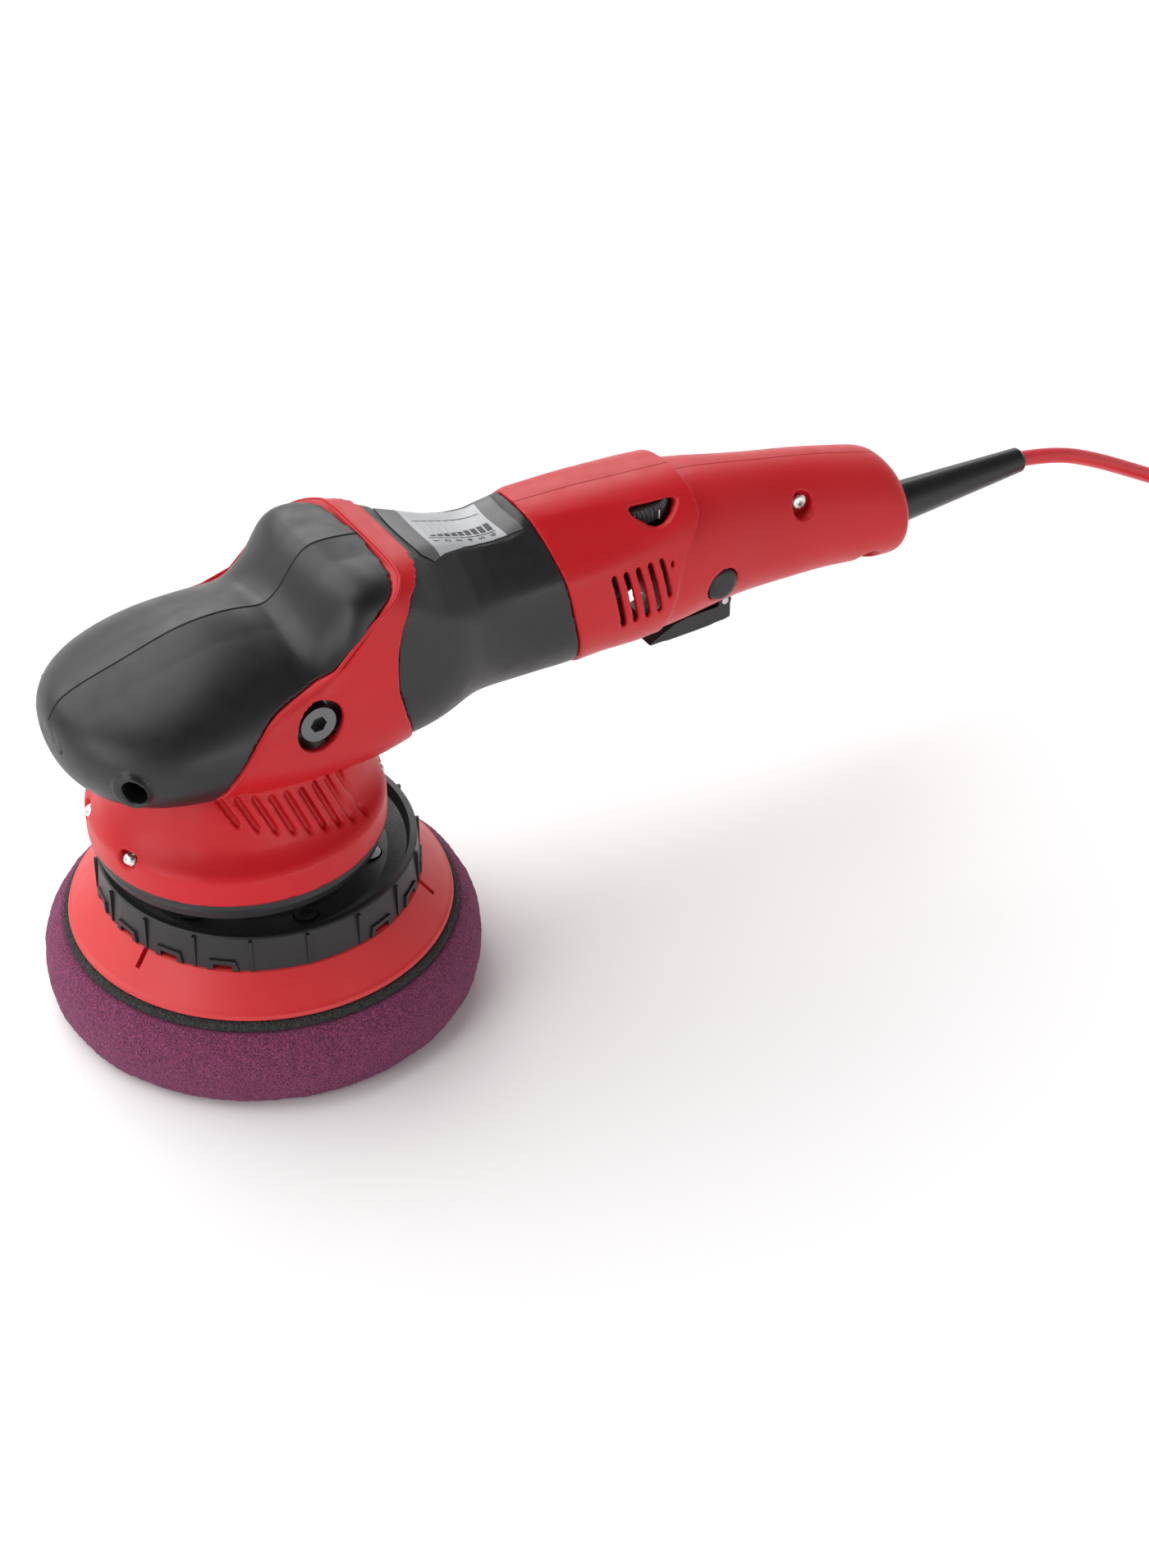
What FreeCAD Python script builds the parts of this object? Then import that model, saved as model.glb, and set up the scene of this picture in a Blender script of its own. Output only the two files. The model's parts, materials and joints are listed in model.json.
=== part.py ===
"""Dual action polisher: every sub-part as its own solid, in millimetres.

The spindle axis is Z through the origin, the pad's working face is z = 0, and the
handle runs towards +X. The tool is symmetric about the plane y = 0.
"""
import FreeCAD, Part
import math
import os

V = FreeCAD.Vector
X = V(1, 0, 0)
Y = V(0, 1, 0)
Z = V(0, 0, 1)

# ---- driving dimensions ----
ORBIT = 15.0                    # diameter of the pad centre's circle
OFFSET = ORBIT / 2              # eccentric journal's distance from the spindle axis
MOTOR_Z = 140.0                 # height of the motor's axis
WALL = 3.0                      # plastic shells
PLATE_R = 75.0                  # backing plate
PAD_TOP = 31.5
LAYER_TOP = 34.8
PLATE_TOP = 49.5
RING_R = 62.5
RING_TOP = 64.5
RIBS = 18                       # on the fan ring
DOME_R = 57.2
DOME_BOTTOM = 79.0
NOSE_BOTTOM = 122.0
JOINT_X = 121.0                 # motor housing meets the handle
TAIL_X = 303.0
SEAM = 0.25                     # half the gap between the handle's two shells
GUARD_END_X = 371.6
GUARD_Z = 114.0                 # height of the cord's exit
CORD_R = 3.3
CROWN_TEETH = 35
PINION_TEETH = 12
CROWN_R = 26.25                 # pitch radius at the outer end of the teeth
PINION_R = CROWN_R * PINION_TEETH / CROWN_TEETH
FACE = 9.0                      # length of the teeth along the crown's radius
BOLT_X = 15.2                   # side handle's bolts
BOLT_Z = 141.8
COIL_X = 510.0
COIL_Y = -62.0
COIL_INNER = 32.7
COIL_OUTER = 52.5
COIL_TOP = 33.0
PLUG_X = COIL_X - 25.4
PLUG_Z = 42.2
PIN_SPREAD = 19.0
PIN_R = 2.4
PIN_LENGTH = 19.0

# Sections across the X axis, from the front to the back. Each is x, half width, top,
# height of the widest point, bottom, and how square the upper and lower halves are.
HEAD = [
    (-72.0, 4, 148, 144, 140.5, 2.0, 2.0),
    (-70.6, 12, 152, 144, 133, 2.0, 2.0),
    (-67.5, 20.8, 156.4, 143.5, 125, 2.0, 2.0),
    (-61, 31, 160.3, 143, 119, 2.05, 2.2),
    (-50, 41.2, 163.4, 142.5, 116, 2.1, 2.4),
    (-36, 47.4, 167, 142, 115, 2.1, 2.4),
    (-20, 49.3, 170.8, 141.5, 113, 2.05, 2.4),
    (-4, 48.2, 171.8, 141, 110, 2.1, 2.4),
    (9, 46.2, 170.6, 141, 107, 2.2, 2.4),
    (17, 45, 170, 141, 105, 2.35, 2.4),
    (24, 44, 175, 141, 103.5, 2.6, 2.3),
    (31, 43.2, 184, 141, 102.5, 2.9, 2.3),
    (39, 42.5, 188.6, 141, 101.5, 3.2, 2.3),
    (50, 42, 187.8, 141.5, 100.8, 3.2, 2.25),
    (62, 41.6, 185.8, 142, 100.4, 3.0, 2.2),
    (74, 41, 183.4, 142, 101.5, 2.8, 2.2),
]
MOTOR = [
    (50, 41.2, 187, 141.5, 101, 3.2, 2.25),
    (61, 40.8, 185, 142, 100.6, 3.0, 2.2),
    (71, 40.2, 183.2, 142.5, 101.9, 2.8, 2.2),
    (80, 38.6, 181, 143, 104.4, 2.6, 2.2),
    (90, 35.3, 177.8, 142, 107, 2.5, 2.2),
    (100, 33.3, 174.8, 140.5, 106.9, 2.4, 2.2),
    (110, 32.8, 173.8, 139.5, 106.2, 2.4, 2.2),
    (JOINT_X + 2, 33.4, 176.6, 139.3, 105.8, 2.35, 2.2),
]
COLLAR = [
    (JOINT_X, 34.0, 177.4, 139.4, 105.3, 2.3, 2.2),
    (135, 34.6, 176.6, 139.6, 105, 2.3, 2.2),
    (150, 34.4, 175.8, 139.5, 105, 2.3, 2.2),
    (165, 34.2, 174.4, 138.5, 104, 2.3, 2.2),
    (180, 33.4, 173, 137.5, 103.6, 2.3, 2.2),
    (204, 32.2, 170.6, 136, 103.6, 2.3, 2.2),
]
GRIP = [
    (172, 32.6, 170.4, 137.5, 105, 2.3, 2.2),
    (186, 31.4, 168.8, 136.5, 105, 2.3, 2.2),
    (200, 29.6, 167.0, 135.4, 105.9, 2.3, 2.2),
    (220, 26.4, 162.8, 132.5, 106.1, 2.25, 2.2),
    (240, 24.8, 158, 129.6, 104.7, 2.2, 2.2),
    (260, 23.8, 153.3, 126.7, 103, 2.2, 2.2),
    (280, 23.3, 147.6, 123.2, 99.9, 2.2, 2.2),
    (291, 23.1, 144.4, 121.5, 98.8, 2.2, 2.2),
    (298, 22, 140.6, 120, 98.9, 2.2, 2.2),
    (TAIL_X, 16.5, 133, 118.5, 104, 2.2, 2.2),
]
SECTION_POINTS = 24

# Where the black cover ends on the red housing, and the red housing on the motor's,
# both seen from the side as x, z.
COVER_EDGE = [(-24, 122), (-20, 130), (-13, 141), (-6, 149.5), (1, 153.5), (14, 157),
              (30, 162.5), (43, 171), (51, 176.5), (57, 182.5), (57.5, 200)]
BAND_EDGE = [(70, 200), (69.6, 181), (66, 173), (60, 168), (55, 160), (52.4, 150),
             (52, 140), (54, 125), (58, 114), (63, 104), (64, 90)]
CHEEK_EDGE = [(-24, 122), (0, 117.5), (25, 110.4), (44, 109.4), (50, 104), (54, 90)]
COLLAR_END = [(201, 185), (202.4, 168), (200, 162), (193, 156), (186, 150), (180.5, 140),
              (177, 128), (175, 118), (174.5, 95)]
LABEL_TOP = [(71, 183.9), (80, 181.7), (88, 178.9), (95, 176.2), (104, 174.2),
             (112, 174.0), (119.6, 176.0)]

EDGE_GAP = 0.15                 # between two shells that meet at an edge


# ---- building blocks ----
def cylinder(radius, start, direction, length):
    return Part.makeCylinder(radius, length, start, direction)


def upright(radius, low, high, x=0.0, y=0.0):
    return cylinder(radius, V(x, y, low), Z, high - low)


def along_x(radius, x0, x1, y=0.0, z=MOTOR_Z):
    return cylinder(radius, V(x0, y, z), X, x1 - x0)


def tube_x(outer, inner, x0, x1, z=MOTOR_Z):
    return along_x(outer, x0, x1, z=z).cut(along_x(inner, x0 - 1, x1 + 1, z=z))


def tube_z(outer, inner, low, high, x=0.0):
    return upright(outer, low, high, x).cut(upright(inner, low - 1, high + 1, x))


def block(x0, x1, y0, y1, z0, z1):
    return Part.makeBox(x1 - x0, y1 - y0, z1 - z0, V(x0, y0, z0))


def turned(outline, x=0.0):
    """Revolve an outline of radius, height about the vertical axis through x."""
    points = [V(x + r, 0, z) for r, z in outline]
    face = Part.Face(Part.makePolygon(points + points[:1]))
    return face.revolve(V(x, 0, 0), Z, 360)


def turned_x(outline, z=MOTOR_Z):
    """Revolve an outline of x, radius about a horizontal axis."""
    points = [V(x, 0, z + r) for x, r in outline]
    face = Part.Face(Part.makePolygon(points + points[:1]))
    return face.revolve(V(0, 0, z), X, 360)


def spin(shape, degrees, x=0.0):
    """A copy turned about the vertical axis through x."""
    copy = shape.copy()
    copy.rotate(V(x, 0, 0), Z, degrees)
    return copy


def mirrored(shape):
    return shape.mirror(V(0, 0, 0), Y)


def both_sides(shape):
    return [shape, mirrored(shape)]


def fuse(shapes):
    whole = shapes[0].multiFuse(shapes[1:])
    merged = whole.removeSplitter()
    return merged if merged.isValid() else whole


def cut_all(shape, tools):
    return shape.cut(Part.makeCompound(tools))


def group(shapes):
    return Part.makeCompound(shapes)


def section(x, half, top, middle, bottom, upper, lower, grow=0.0):
    points = []
    for k in range(SECTION_POINTS):
        angle = 2 * math.pi * k / SECTION_POINTS
        across, rise = math.cos(angle), math.sin(angle)
        power = upper if rise >= 0 else lower
        reach = top - middle if rise >= 0 else middle - bottom
        y = math.copysign(abs(across) ** (2 / power), across) * (half + grow)
        z = math.copysign(abs(rise) ** (2 / power), rise) * (reach + grow)
        points.append(V(x, y, middle + z))
    curve = Part.BSplineCurve()
    curve.interpolate(points, PeriodicFlag=True)
    return Part.Wire(curve.toShape())


def loft(stations, grow=0.0):
    return Part.makeLoft([section(*s, grow=grow) for s in stations], True, False)


def side_cutter(edge, corners, depth=70.0):
    """A slab across the tool, bounded by a smooth curve and by straight corners."""
    curve = Part.BSplineCurve()
    curve.interpolate([V(x, -depth, z) for x, z in edge])
    corner_points = [V(edge[-1][0], -depth, edge[-1][1])]
    corner_points += [V(x, -depth, z) for x, z in corners]
    corner_points += [V(edge[0][0], -depth, edge[0][1])]
    wire = Part.Wire([curve.toShape()] + Part.makePolygon(corner_points).Edges)
    return Part.Face(wire).extrude(V(0, 2 * depth, 0))


def screw(radius, length, head_radius, head_length, tip, direction, socket=0.0):
    """A screw with its tip at one point and its head at the far end of direction."""
    shank = cylinder(radius, tip, direction, length)
    head = cylinder(head_radius, tip + direction * length, direction, head_length)
    solid = shank.fuse(head)
    if socket:
        corners = [V(socket * math.cos(math.pi * k / 3), socket * math.sin(math.pi * k / 3), 0)
                   for k in range(6)]
        hexagon = Part.Face(Part.makePolygon(corners + corners[:1]))
        hexagon.Placement = FreeCAD.Placement(
            tip + direction * (length + head_length * 0.35), FreeCAD.Rotation(Z, direction))
        solid = solid.cut(hexagon.extrude(direction * head_length))
    return solid


def bent_tube(points, radius):
    """A round tube along straight runs that are joined by tangent arcs."""
    route = [V(*p) for p in points]
    edges = []
    start = route[0]
    for before, corner, after in zip(route, route[1:], route[2:]):
        to_corner = (corner - before).normalize()
        from_corner = (after - corner).normalize()
        turn = to_corner.getAngle(from_corner)
        shorter = min((corner - before).Length, (after - corner).Length)
        trim = 0.45 * shorter
        print("bend radius %.1f" % (trim / math.tan(turn / 2)))
        first = corner - to_corner * trim
        last = corner + from_corner * trim
        inward = (from_corner - to_corner).normalize()
        sagitta = trim * math.tan(turn / 4)
        chord_middle = (first + last) * 0.5
        edges.append(Part.LineSegment(start, first).toShape())
        edges.append(Part.Arc(first, chord_middle - inward * sagitta, last).toShape())
        start = last
    edges.append(Part.LineSegment(start, route[-1]).toShape())
    path = Part.Wire(edges)
    profile = Part.Wire(Part.makeCircle(radius, route[0], route[1] - route[0]))
    solid = path.makePipeShell([profile], True, False)
    print("tube %.0f mm long, volume %.0f of %.0f"
          % (path.Length, solid.Volume, math.pi * radius ** 2 * path.Length))
    return solid


def spring(radius, wire, pitch, height, start, direction):
    """A coil spring made of a helix with a round wire."""
    helix = Part.makeHelix(pitch, height, radius)
    profile = Part.Wire(Part.makeCircle(wire, V(radius, 0, 0), Y))
    solid = Part.Wire(helix.Edges).makePipeShell([profile], True, True)
    solid.Placement = FreeCAD.Placement(start, FreeCAD.Rotation(Z, direction))
    return solid


# ---- pad, plate and ring, which turn about the eccentric journal ----
def foam_pad():
    flat, bulge, top = 79.0, 85.5, 77.6
    floor = Part.LineSegment(V(0, 0, 0), V(flat, 0, 0)).toShape()
    lower = Part.Arc(V(flat, 0, 0), V(84.2, 0, 5.6), V(bulge, 0, 15)).toShape()
    upper = Part.Arc(V(bulge, 0, 15), V(83.4, 0, 25), V(top, 0, PAD_TOP)).toShape()
    lid = Part.makePolygon([V(top, 0, PAD_TOP), V(0, 0, PAD_TOP), V(0, 0, 0)])
    face = Part.Face(Part.Wire([floor, lower, upper] + lid.Edges))
    face.translate(V(OFFSET, 0, 0))
    return face.revolve(V(OFFSET, 0, 0), Z, 360)


def interface_layer():
    return turned([(0, PAD_TOP), (77, PAD_TOP), (76.6, 33.4), (75.4, LAYER_TOP), (0, LAYER_TOP)],
                  OFFSET)


RING_SCREW_R = 43.0
RING_SCREW_ANGLES = [27 + 60 * k for k in range(6)]


def ring_screw_holes(radius, low, high):
    hole = upright(radius, low, high, OFFSET + RING_SCREW_R)
    return [spin(hole, a, OFFSET) for a in RING_SCREW_ANGLES]


def backing_plate():
    rim, edge = PLATE_R, 0.8
    plate = turned([(0, LAYER_TOP), (rim - edge, LAYER_TOP), (rim, LAYER_TOP + edge),
                    (rim - 0.4, LAYER_TOP + 2.4), (rim - 1.6, LAYER_TOP + 3.4),
                    (RING_R + 0.7, PLATE_TOP - 0.5), (RING_R - 0.5, PLATE_TOP),
                    (0, PLATE_TOP)], OFFSET)
    slit = block(OFFSET + RING_R - 1, OFFSET + RING_R + 6, -1.1, 1.1, 43, 52)
    slits = [spin(slit, a, OFFSET) for a in (-160, -40, 80)]
    recess = upright(12, 36, PLATE_TOP + 1, OFFSET)
    return cut_all(plate, slits + [recess] + ring_screw_holes(2, 41.5, PLATE_TOP + 1))


def fan_ring():
    ring = turned([(18, PLATE_TOP), (RING_R, PLATE_TOP), (RING_R - 0.9, RING_TOP - 0.6),
                   (RING_R - 1.5, RING_TOP), (RING_R - 3.6, RING_TOP), (57.4, 60),
                   (50, 56.8), (40, 55.6), (18, 55.6)], OFFSET)
    rib = block(OFFSET + RING_R - 3, OFFSET + RING_R + 0.5, -0.6, 0.6, PLATE_TOP, RING_TOP - 1)
    ribs = [spin(rib, 360 / RIBS * k, OFFSET) for k in range(RIBS)]
    frame_face = Part.Face(Part.makePolygon([
        V(0, -6.2, PLATE_TOP), V(0, -5.0, PLATE_TOP + 4.6), V(0, 5.0, PLATE_TOP + 4.6),
        V(0, 6.2, PLATE_TOP), V(0, -6.2, PLATE_TOP)]))
    frame_face.translate(V(OFFSET + RING_R - 2, 0, 0))
    frame = frame_face.extrude(V(2.5, 0, 0))
    window = block(OFFSET + RING_R - 2.4, OFFSET + RING_R + 2, -3.6, 3.6,
                   PLATE_TOP - 1, PLATE_TOP + 2.6)
    bays = [a + s for a in (-40, 80, 200) for s in (-30, -10, 10, 30)]
    solid = fuse([ring] + ribs + [spin(frame, a, OFFSET) for a in bays])
    cuts = [spin(window, a, OFFSET) for a in bays]
    return cut_all(solid, cuts + ring_screw_holes(2, 48, 57) + ring_screw_holes(5, 54.8, 60))


def ring_screws():
    one = screw(2, 13.0, 4.4, 2.2, V(OFFSET + RING_SCREW_R, 0, 41.8), Z, socket=2.0)
    return group([spin(one, a, OFFSET) for a in RING_SCREW_ANGLES])


HUB_FLOOR = 58.0


def pad_hub():
    cup = turned([(0, 49.8), (17.8, 49.8), (17.8, 55.6), (24, 55.6), (24, 62), (21.5, 64),
                  (21.5, 75), (16, 75), (16, HUB_FLOOR), (0, HUB_FLOOR)], OFFSET)
    return cup.cut(upright(4, 45, HUB_FLOOR - 1.5, OFFSET))


def pad_centre_bolt():
    return screw(4, 14.5, 8.5, 5.0, V(OFFSET, 0, 56), V(0, 0, -1), socket=3.5)


def race(inner, outer, low, high, x=0.0):
    return tube_z(outer, inner, low, high, x)


def balls(radius, pitch_radius, count, centre, direction):
    found = []
    for k in range(count):
        angle = 2 * math.pi * k / count
        spot = FreeCAD.Rotation(Z, direction).multVec(
            V(pitch_radius * math.cos(angle), pitch_radius * math.sin(angle), 0))
        found.append(Part.makeSphere(radius, centre + spot))
    return found


def pad_bearing_outer_race():
    return race(13.2, 16, HUB_FLOOR + 3, 74, OFFSET)


def pad_bearing_inner_race():
    ring = race(7.5, 10.2, HUB_FLOOR + 3, 74, OFFSET)
    return fuse([ring] + balls(1.56, 11.62, 10, V(OFFSET, 0, 67.5), Z))


def pad_circlip():
    return tube_z(9.2, 6.6, HUB_FLOOR + 1.6, HUB_FLOOR + 2.8, OFFSET)


# ---- spindle and gears ----
LOWER_BEARING = (97.0, 109.0)
UPPER_BEARING = (150.0, 157.0)


def spindle():
    journal = fuse([upright(7.5, HUB_FLOOR + 0.6, 76, OFFSET), upright(9.5, 74.3, 86, OFFSET)])
    journal = journal.cut(tube_z(10, 6.5, HUB_FLOOR + 1.5, HUB_FLOOR + 2.9, OFFSET))
    shaft = turned([(0, 82), (14, 82), (14, 93), (13, 94.5), (10, 94.5), (10, 109.5),
                    (9, 110), (9, 126), (7, 127), (5.5, 129), (5.5, 149), (5, 149.5),
                    (5, 158.5), (0, 158.5)])
    return fuse([journal, shaft])


def counterweight():
    inner, outer = 14.0, 49.0
    half = tube_z(outer, inner, 80.5, 92).common(block(-60, -2, -60, 60, 70, 100))
    collar = tube_z(19, inner, 86.5, 92)
    trim = block(-60, 10, 40, 60, 70, 100)
    return cut_all(fuse([half, collar]), both_sides(trim))


def tooth(pitch_radius, inner_scale, foot, tip, foot_half, tip_half):
    """A bevel tooth that shrinks towards the cone's apex, built along +X from the apex.

    Heights are measured from the pitch point at the outer end, at right angles to X.
    """
    def profile(scale):
        points = [V(CROWN_R * scale, y * scale, (pitch_radius + h) * scale)
                  for y, h in ((-foot_half, foot), (foot_half, foot),
                               (tip_half, tip), (-tip_half, tip))]
        return Part.makePolygon(points + points[:1])
    return Part.makeLoft([profile(1.0), profile(inner_scale)], True, True)


INNER_SCALE = (CROWN_R - FACE) / CROWN_R
BODY_DEPTH = 1.9                # below the pitch line at the outer end
ADDENDUM = 1.15


def crown_gear():
    apex = V(0, 0, MOTOR_Z)
    inner_r = CROWN_R * INNER_SCALE
    slope = (PINION_R + BODY_DEPTH) / CROWN_R
    body = turned([(9, 112), (16, 112), (CROWN_R + 0.8, 121),
                   (CROWN_R + 0.8, MOTOR_Z - slope * CROWN_R),
                   (inner_r - 1, MOTOR_Z - slope * (inner_r - 1)), (inner_r - 3, 126), (9, 126)])
    one = tooth(-PINION_R, INNER_SCALE, -BODY_DEPTH - 0.5, ADDENDUM, 1.30, 0.62)
    one.translate(apex)
    step = 360 / CROWN_TEETH
    return fuse([body] + [spin(one, step * (k + 0.5)) for k in range(CROWN_TEETH)])


def bevel_pinion():
    apex = V(0, 0, MOTOR_Z)
    inner_x = CROWN_R * INNER_SCALE
    slope = (PINION_R - BODY_DEPTH) / CROWN_R
    body = turned_x([(inner_x, 4), (inner_x, slope * inner_x), (CROWN_R, slope * CROWN_R),
                     (CROWN_R + 3, slope * CROWN_R), (CROWN_R + 3, 4)])
    one = tooth(-PINION_R, INNER_SCALE, BODY_DEPTH + 0.4, -ADDENDUM, 1.35, 0.62)
    one.translate(apex)
    teeth = []
    for k in range(PINION_TEETH):
        copy = one.copy()
        copy.rotate(apex, X, 360 / PINION_TEETH * k)
        teeth.append(copy)
    return fuse([body] + teeth)


def pinion_nut():
    inner_x = CROWN_R * INNER_SCALE
    corners = [V(inner_x - 4.5, 5.2 * math.cos(math.pi * k / 3),
                 MOTOR_Z + 5.2 * math.sin(math.pi * k / 3))
               for k in range(6)]
    nut = Part.Face(Part.makePolygon(corners + corners[:1])).extrude(V(4.4, 0, 0))
    return nut.cut(along_x(3, inner_x - 6, inner_x + 6))


def spindle_bearing_outer_races():
    return group([race(17.75, 21, *LOWER_BEARING), race(11.0, 13, *UPPER_BEARING)])


def spindle_bearing_inner_races():
    lower = fuse([race(10, 13.2, *LOWER_BEARING)] + balls(2.3, 15.4, 10, V(0, 0, 103), Z))
    upper = fuse([race(5, 7.4, *UPPER_BEARING)] + balls(1.85, 9.1, 8, V(0, 0, 153.5), Z))
    return group([lower, upper])


# ---- armature ----
FRONT_BEARING = (36.0, 46.0)
REAR_BEARING = (158.0, 165.0)


def armature_shaft():
    inner_x = CROWN_R * INNER_SCALE
    return turned_x([(inner_x - 5.5, 0), (inner_x - 5.5, 3), (inner_x, 3), (inner_x, 4),
                     (CROWN_R + 3, 4), (CROWN_R + 3, 6), (46, 6), (46, 5), (REAR_BEARING[0], 5),
                     (REAR_BEARING[0], 4), (REAR_BEARING[1] + 0.8, 4), (REAR_BEARING[1] + 0.8, 0)])


def armature_core():
    core = tube_x(17, 5, 80, 124)
    slot = block(79, 125, -1, 1, MOTOR_Z + 9, MOTOR_Z + 18)
    slots = []
    for k in range(12):
        copy = slot.copy()
        copy.rotate(V(0, 0, MOTOR_Z), X, 30 * k)
        slots.append(copy)
    return cut_all(core, slots)


def armature_windings():
    front = turned_x([(74, 5), (74, 12), (76, 14.6), (80, 15), (80, 5)])
    rear = turned_x([(124, 5), (124, 15), (129, 14), (132, 10), (132, 5)])
    return group([front, rear])


def commutator():
    barrel = tube_x(11, 5, 133, 150)
    slit = block(136, 151, -0.25, 0.25, MOTOR_Z + 9.6, MOTOR_Z + 12)
    slits = []
    for k in range(24):
        copy = slit.copy()
        copy.rotate(V(0, 0, MOTOR_Z), X, 15 * k)
        slits.append(copy)
    return cut_all(barrel, slits)


FAN_R = 28.2
FAN_BLADES = 14


def cooling_fan():
    hub = turned_x([(57, 5), (57, 13), (68.5, FAN_R), (71, FAN_R), (71, 5)])
    blade = block(59, 68.9, -0.8, 0.8, MOTOR_Z + 9, MOTOR_Z + FAN_R - 0.6)
    blades = []
    for k in range(FAN_BLADES):
        copy = blade.copy()
        copy.rotate(V(64, 0, MOTOR_Z + 20), Z, 20)
        copy.rotate(V(0, 0, MOTOR_Z), X, 360 / FAN_BLADES * k)
        blades.append(copy)
    return fuse([hub] + blades)


def armature_bearing_outer_races():
    return group([tube_x(16, 13.2, *FRONT_BEARING), tube_x(11, 9.1, *REAR_BEARING)])


def armature_bearing_inner_races():
    middle_front = V(sum(FRONT_BEARING) / 2, 0, MOTOR_Z)
    middle_rear = V(sum(REAR_BEARING) / 2, 0, MOTOR_Z)
    front = fuse([tube_x(9, 6, *FRONT_BEARING)] + balls(2.2, 10.95, 9, middle_front, X))
    rear = fuse([tube_x(6, 4, *REAR_BEARING)] + balls(1.6, 7.45, 8, middle_rear, X))
    return group([front, rear])


# ---- gear case and the head's shells ----
def gear_case():
    outer = turned([(0, 94), (38, 94), (38, 98), (35, 100), (35, 128), (33, 146), (27, 158),
                    (17, 161.5), (0, 161.5)])
    neck = turned_x([(5, 0), (5, 20), (18, 24), (36, 31), (52, 34), (56, 34), (56, 0)])
    solid = fuse([outer, neck])
    room = turned([(0, 93), (21, 93), (21, 109), (20, 110.5), (30, 111.5), (30, 134), (24, 143),
                   (13, 150), (13, 157), (8, 157), (8, 159.2), (0, 159.2)])
    tunnel = turned_x([(0, 0), (0, 12.5), (34, 12.5), (36, 16), (48, 16), (49, 31), (57, 31),
                       (57, 0)])
    bosses = [cylinder(8, V(BOLT_X, 30, BOLT_Z), Y, 4.6)]
    solid = fuse([solid.cut(room).cut(tunnel)] + bosses + [mirrored(b) for b in bosses])
    thread = cylinder(4, V(BOLT_X, 21, BOLT_Z), Y, 20)
    screw_hole = along_x(2, 40, 60, y=24.5, z=MOTOR_Z + 21)
    low_hole = along_x(2, 40, 60, y=24.5, z=MOTOR_Z - 21)
    holes = both_sides(thread) + both_sides(screw_hole) + both_sides(low_hole)
    return cut_all(solid, holes)


def bearing_retainer():
    ring = turned([(17, 94), (17, 96.8), (20.9, 96.8), (20.9, 94)])
    return ring


def head_form():
    return loft(HEAD)


def cover_region():
    return side_cutter(COVER_EDGE, [(-90, 200), (-90, NOSE_BOTTOM)])


def cheek_region():
    behind_cover = side_cutter(COVER_EDGE, [(90, 200), (90, 80), (-24, 80)])
    before_motor = side_cutter(BAND_EDGE, [(-90, 90), (-90, 200)])
    above_dome = side_cutter(CHEEK_EDGE, [(90, 90), (90, 220), (-24, 220)])
    return behind_cover.common(before_motor).common(above_dome)


def head_cover():
    shell = head_form().common(cover_region()).cut(loft(HEAD, -3.4))
    hole = cylinder(4.6, V(-63.6, -43.1, 135.3), V(0.78, 0.62, 0.06), 22)
    trimmed = cut_all(shell, both_sides(hole))
    return trimmed.cut(side_cutter([(x + EDGE_GAP, z - EDGE_GAP) for x, z in COVER_EDGE],
                                   [(90, 200), (90, 80), (-24, 80)]))


DOME_SLOTS = 9


def dome_slots():
    cutters = []
    for k in range(DOME_SLOTS):
        share = k / (DOME_SLOTS - 1)
        top = V(-26 + 46 * share, -60, 121.0 - 4.5 * share)
        low = V(-22 + 55 * share, -60, 114 - 20 * share)
        run = low - top
        slot = block(-1.15, 1.15, 0, 25, 0, run.Length)
        slot.Placement = FreeCAD.Placement(top, FreeCAD.Rotation(Z, run))
        cutters += both_sides(slot)
    return cutters


RIM_SCREW_ANGLES = (-162, -18, 162, 18)


RIM_SCREW_R = 54.0
RIM_SEAT = 88.0


def at_rim_screws(shape):
    return [spin(shape, a) for a in RIM_SCREW_ANGLES]


def gear_housing():
    cheeks = head_form().common(cheek_region())
    dome_outer = turned([(0, DOME_BOTTOM), (DOME_R, DOME_BOTTOM), (DOME_R, 90.5), (56.4, 93),
                         (54.3, 97.5), (51.6, 104), (50, 111), (49, 121.7), (0, 121.7)])
    room = turned([(0, 70), (54, 70), (54, 90), (51.3, 97), (48.6, 104), (47, 111),
                   (46.4, 118.6), (0, 118.6)])
    inside = loft(HEAD, -WALL)
    lid_opening = upright(35.8, 112, 125)
    shell = fuse([cheeks, dome_outer]).cut(room)
    shell = shell.cut(inside).cut(lid_opening)
    posts = at_rim_screws(upright(3.4, DOME_BOTTOM, RIM_SEAT, RIM_SCREW_R))
    bore = cylinder(10.2, V(BOLT_X, -60, BOLT_Z), Y, 24)
    pockets = at_rim_screws(upright(3.8, RIM_SEAT, 100, RIM_SCREW_R + 0.6))
    holes = at_rim_screws(upright(1.6, DOME_BOTTOM - 1, RIM_SEAT + 1, RIM_SCREW_R))
    inward = upright(DOME_R - 0.4, DOME_BOTTOM, RIM_SEAT)
    shell = fuse([shell] + [post.common(inward) for post in posts])
    return cut_all(shell, both_sides(bore) + pockets + holes + dome_slots())


def rim_screws():
    length = 8.6
    one = screw(1.6, length, 3.2, 2.4, V(RIM_SCREW_R, 0, RIM_SEAT - length), Z, socket=1.6)
    return group(at_rim_screws(one))


def side_bolts():
    one = screw(4, 14, 7.2, 6.6, V(BOLT_X, -22.6, BOLT_Z), V(0, -1, 0), socket=3.4)
    return group(both_sides(one))


def shroud_ring():
    return turned([(50.5, DOME_BOTTOM), (56.7, DOME_BOTTOM), (56.7, 77), (55, 76),
                   (55.6, 75), (54.8, 71.6), (53.2, 71.2), (52.6, 75.6), (50.5, 76.4)])


# ---- motor housing ----
SLEEVE_BORE = 28.1              # holds the stator


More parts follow.
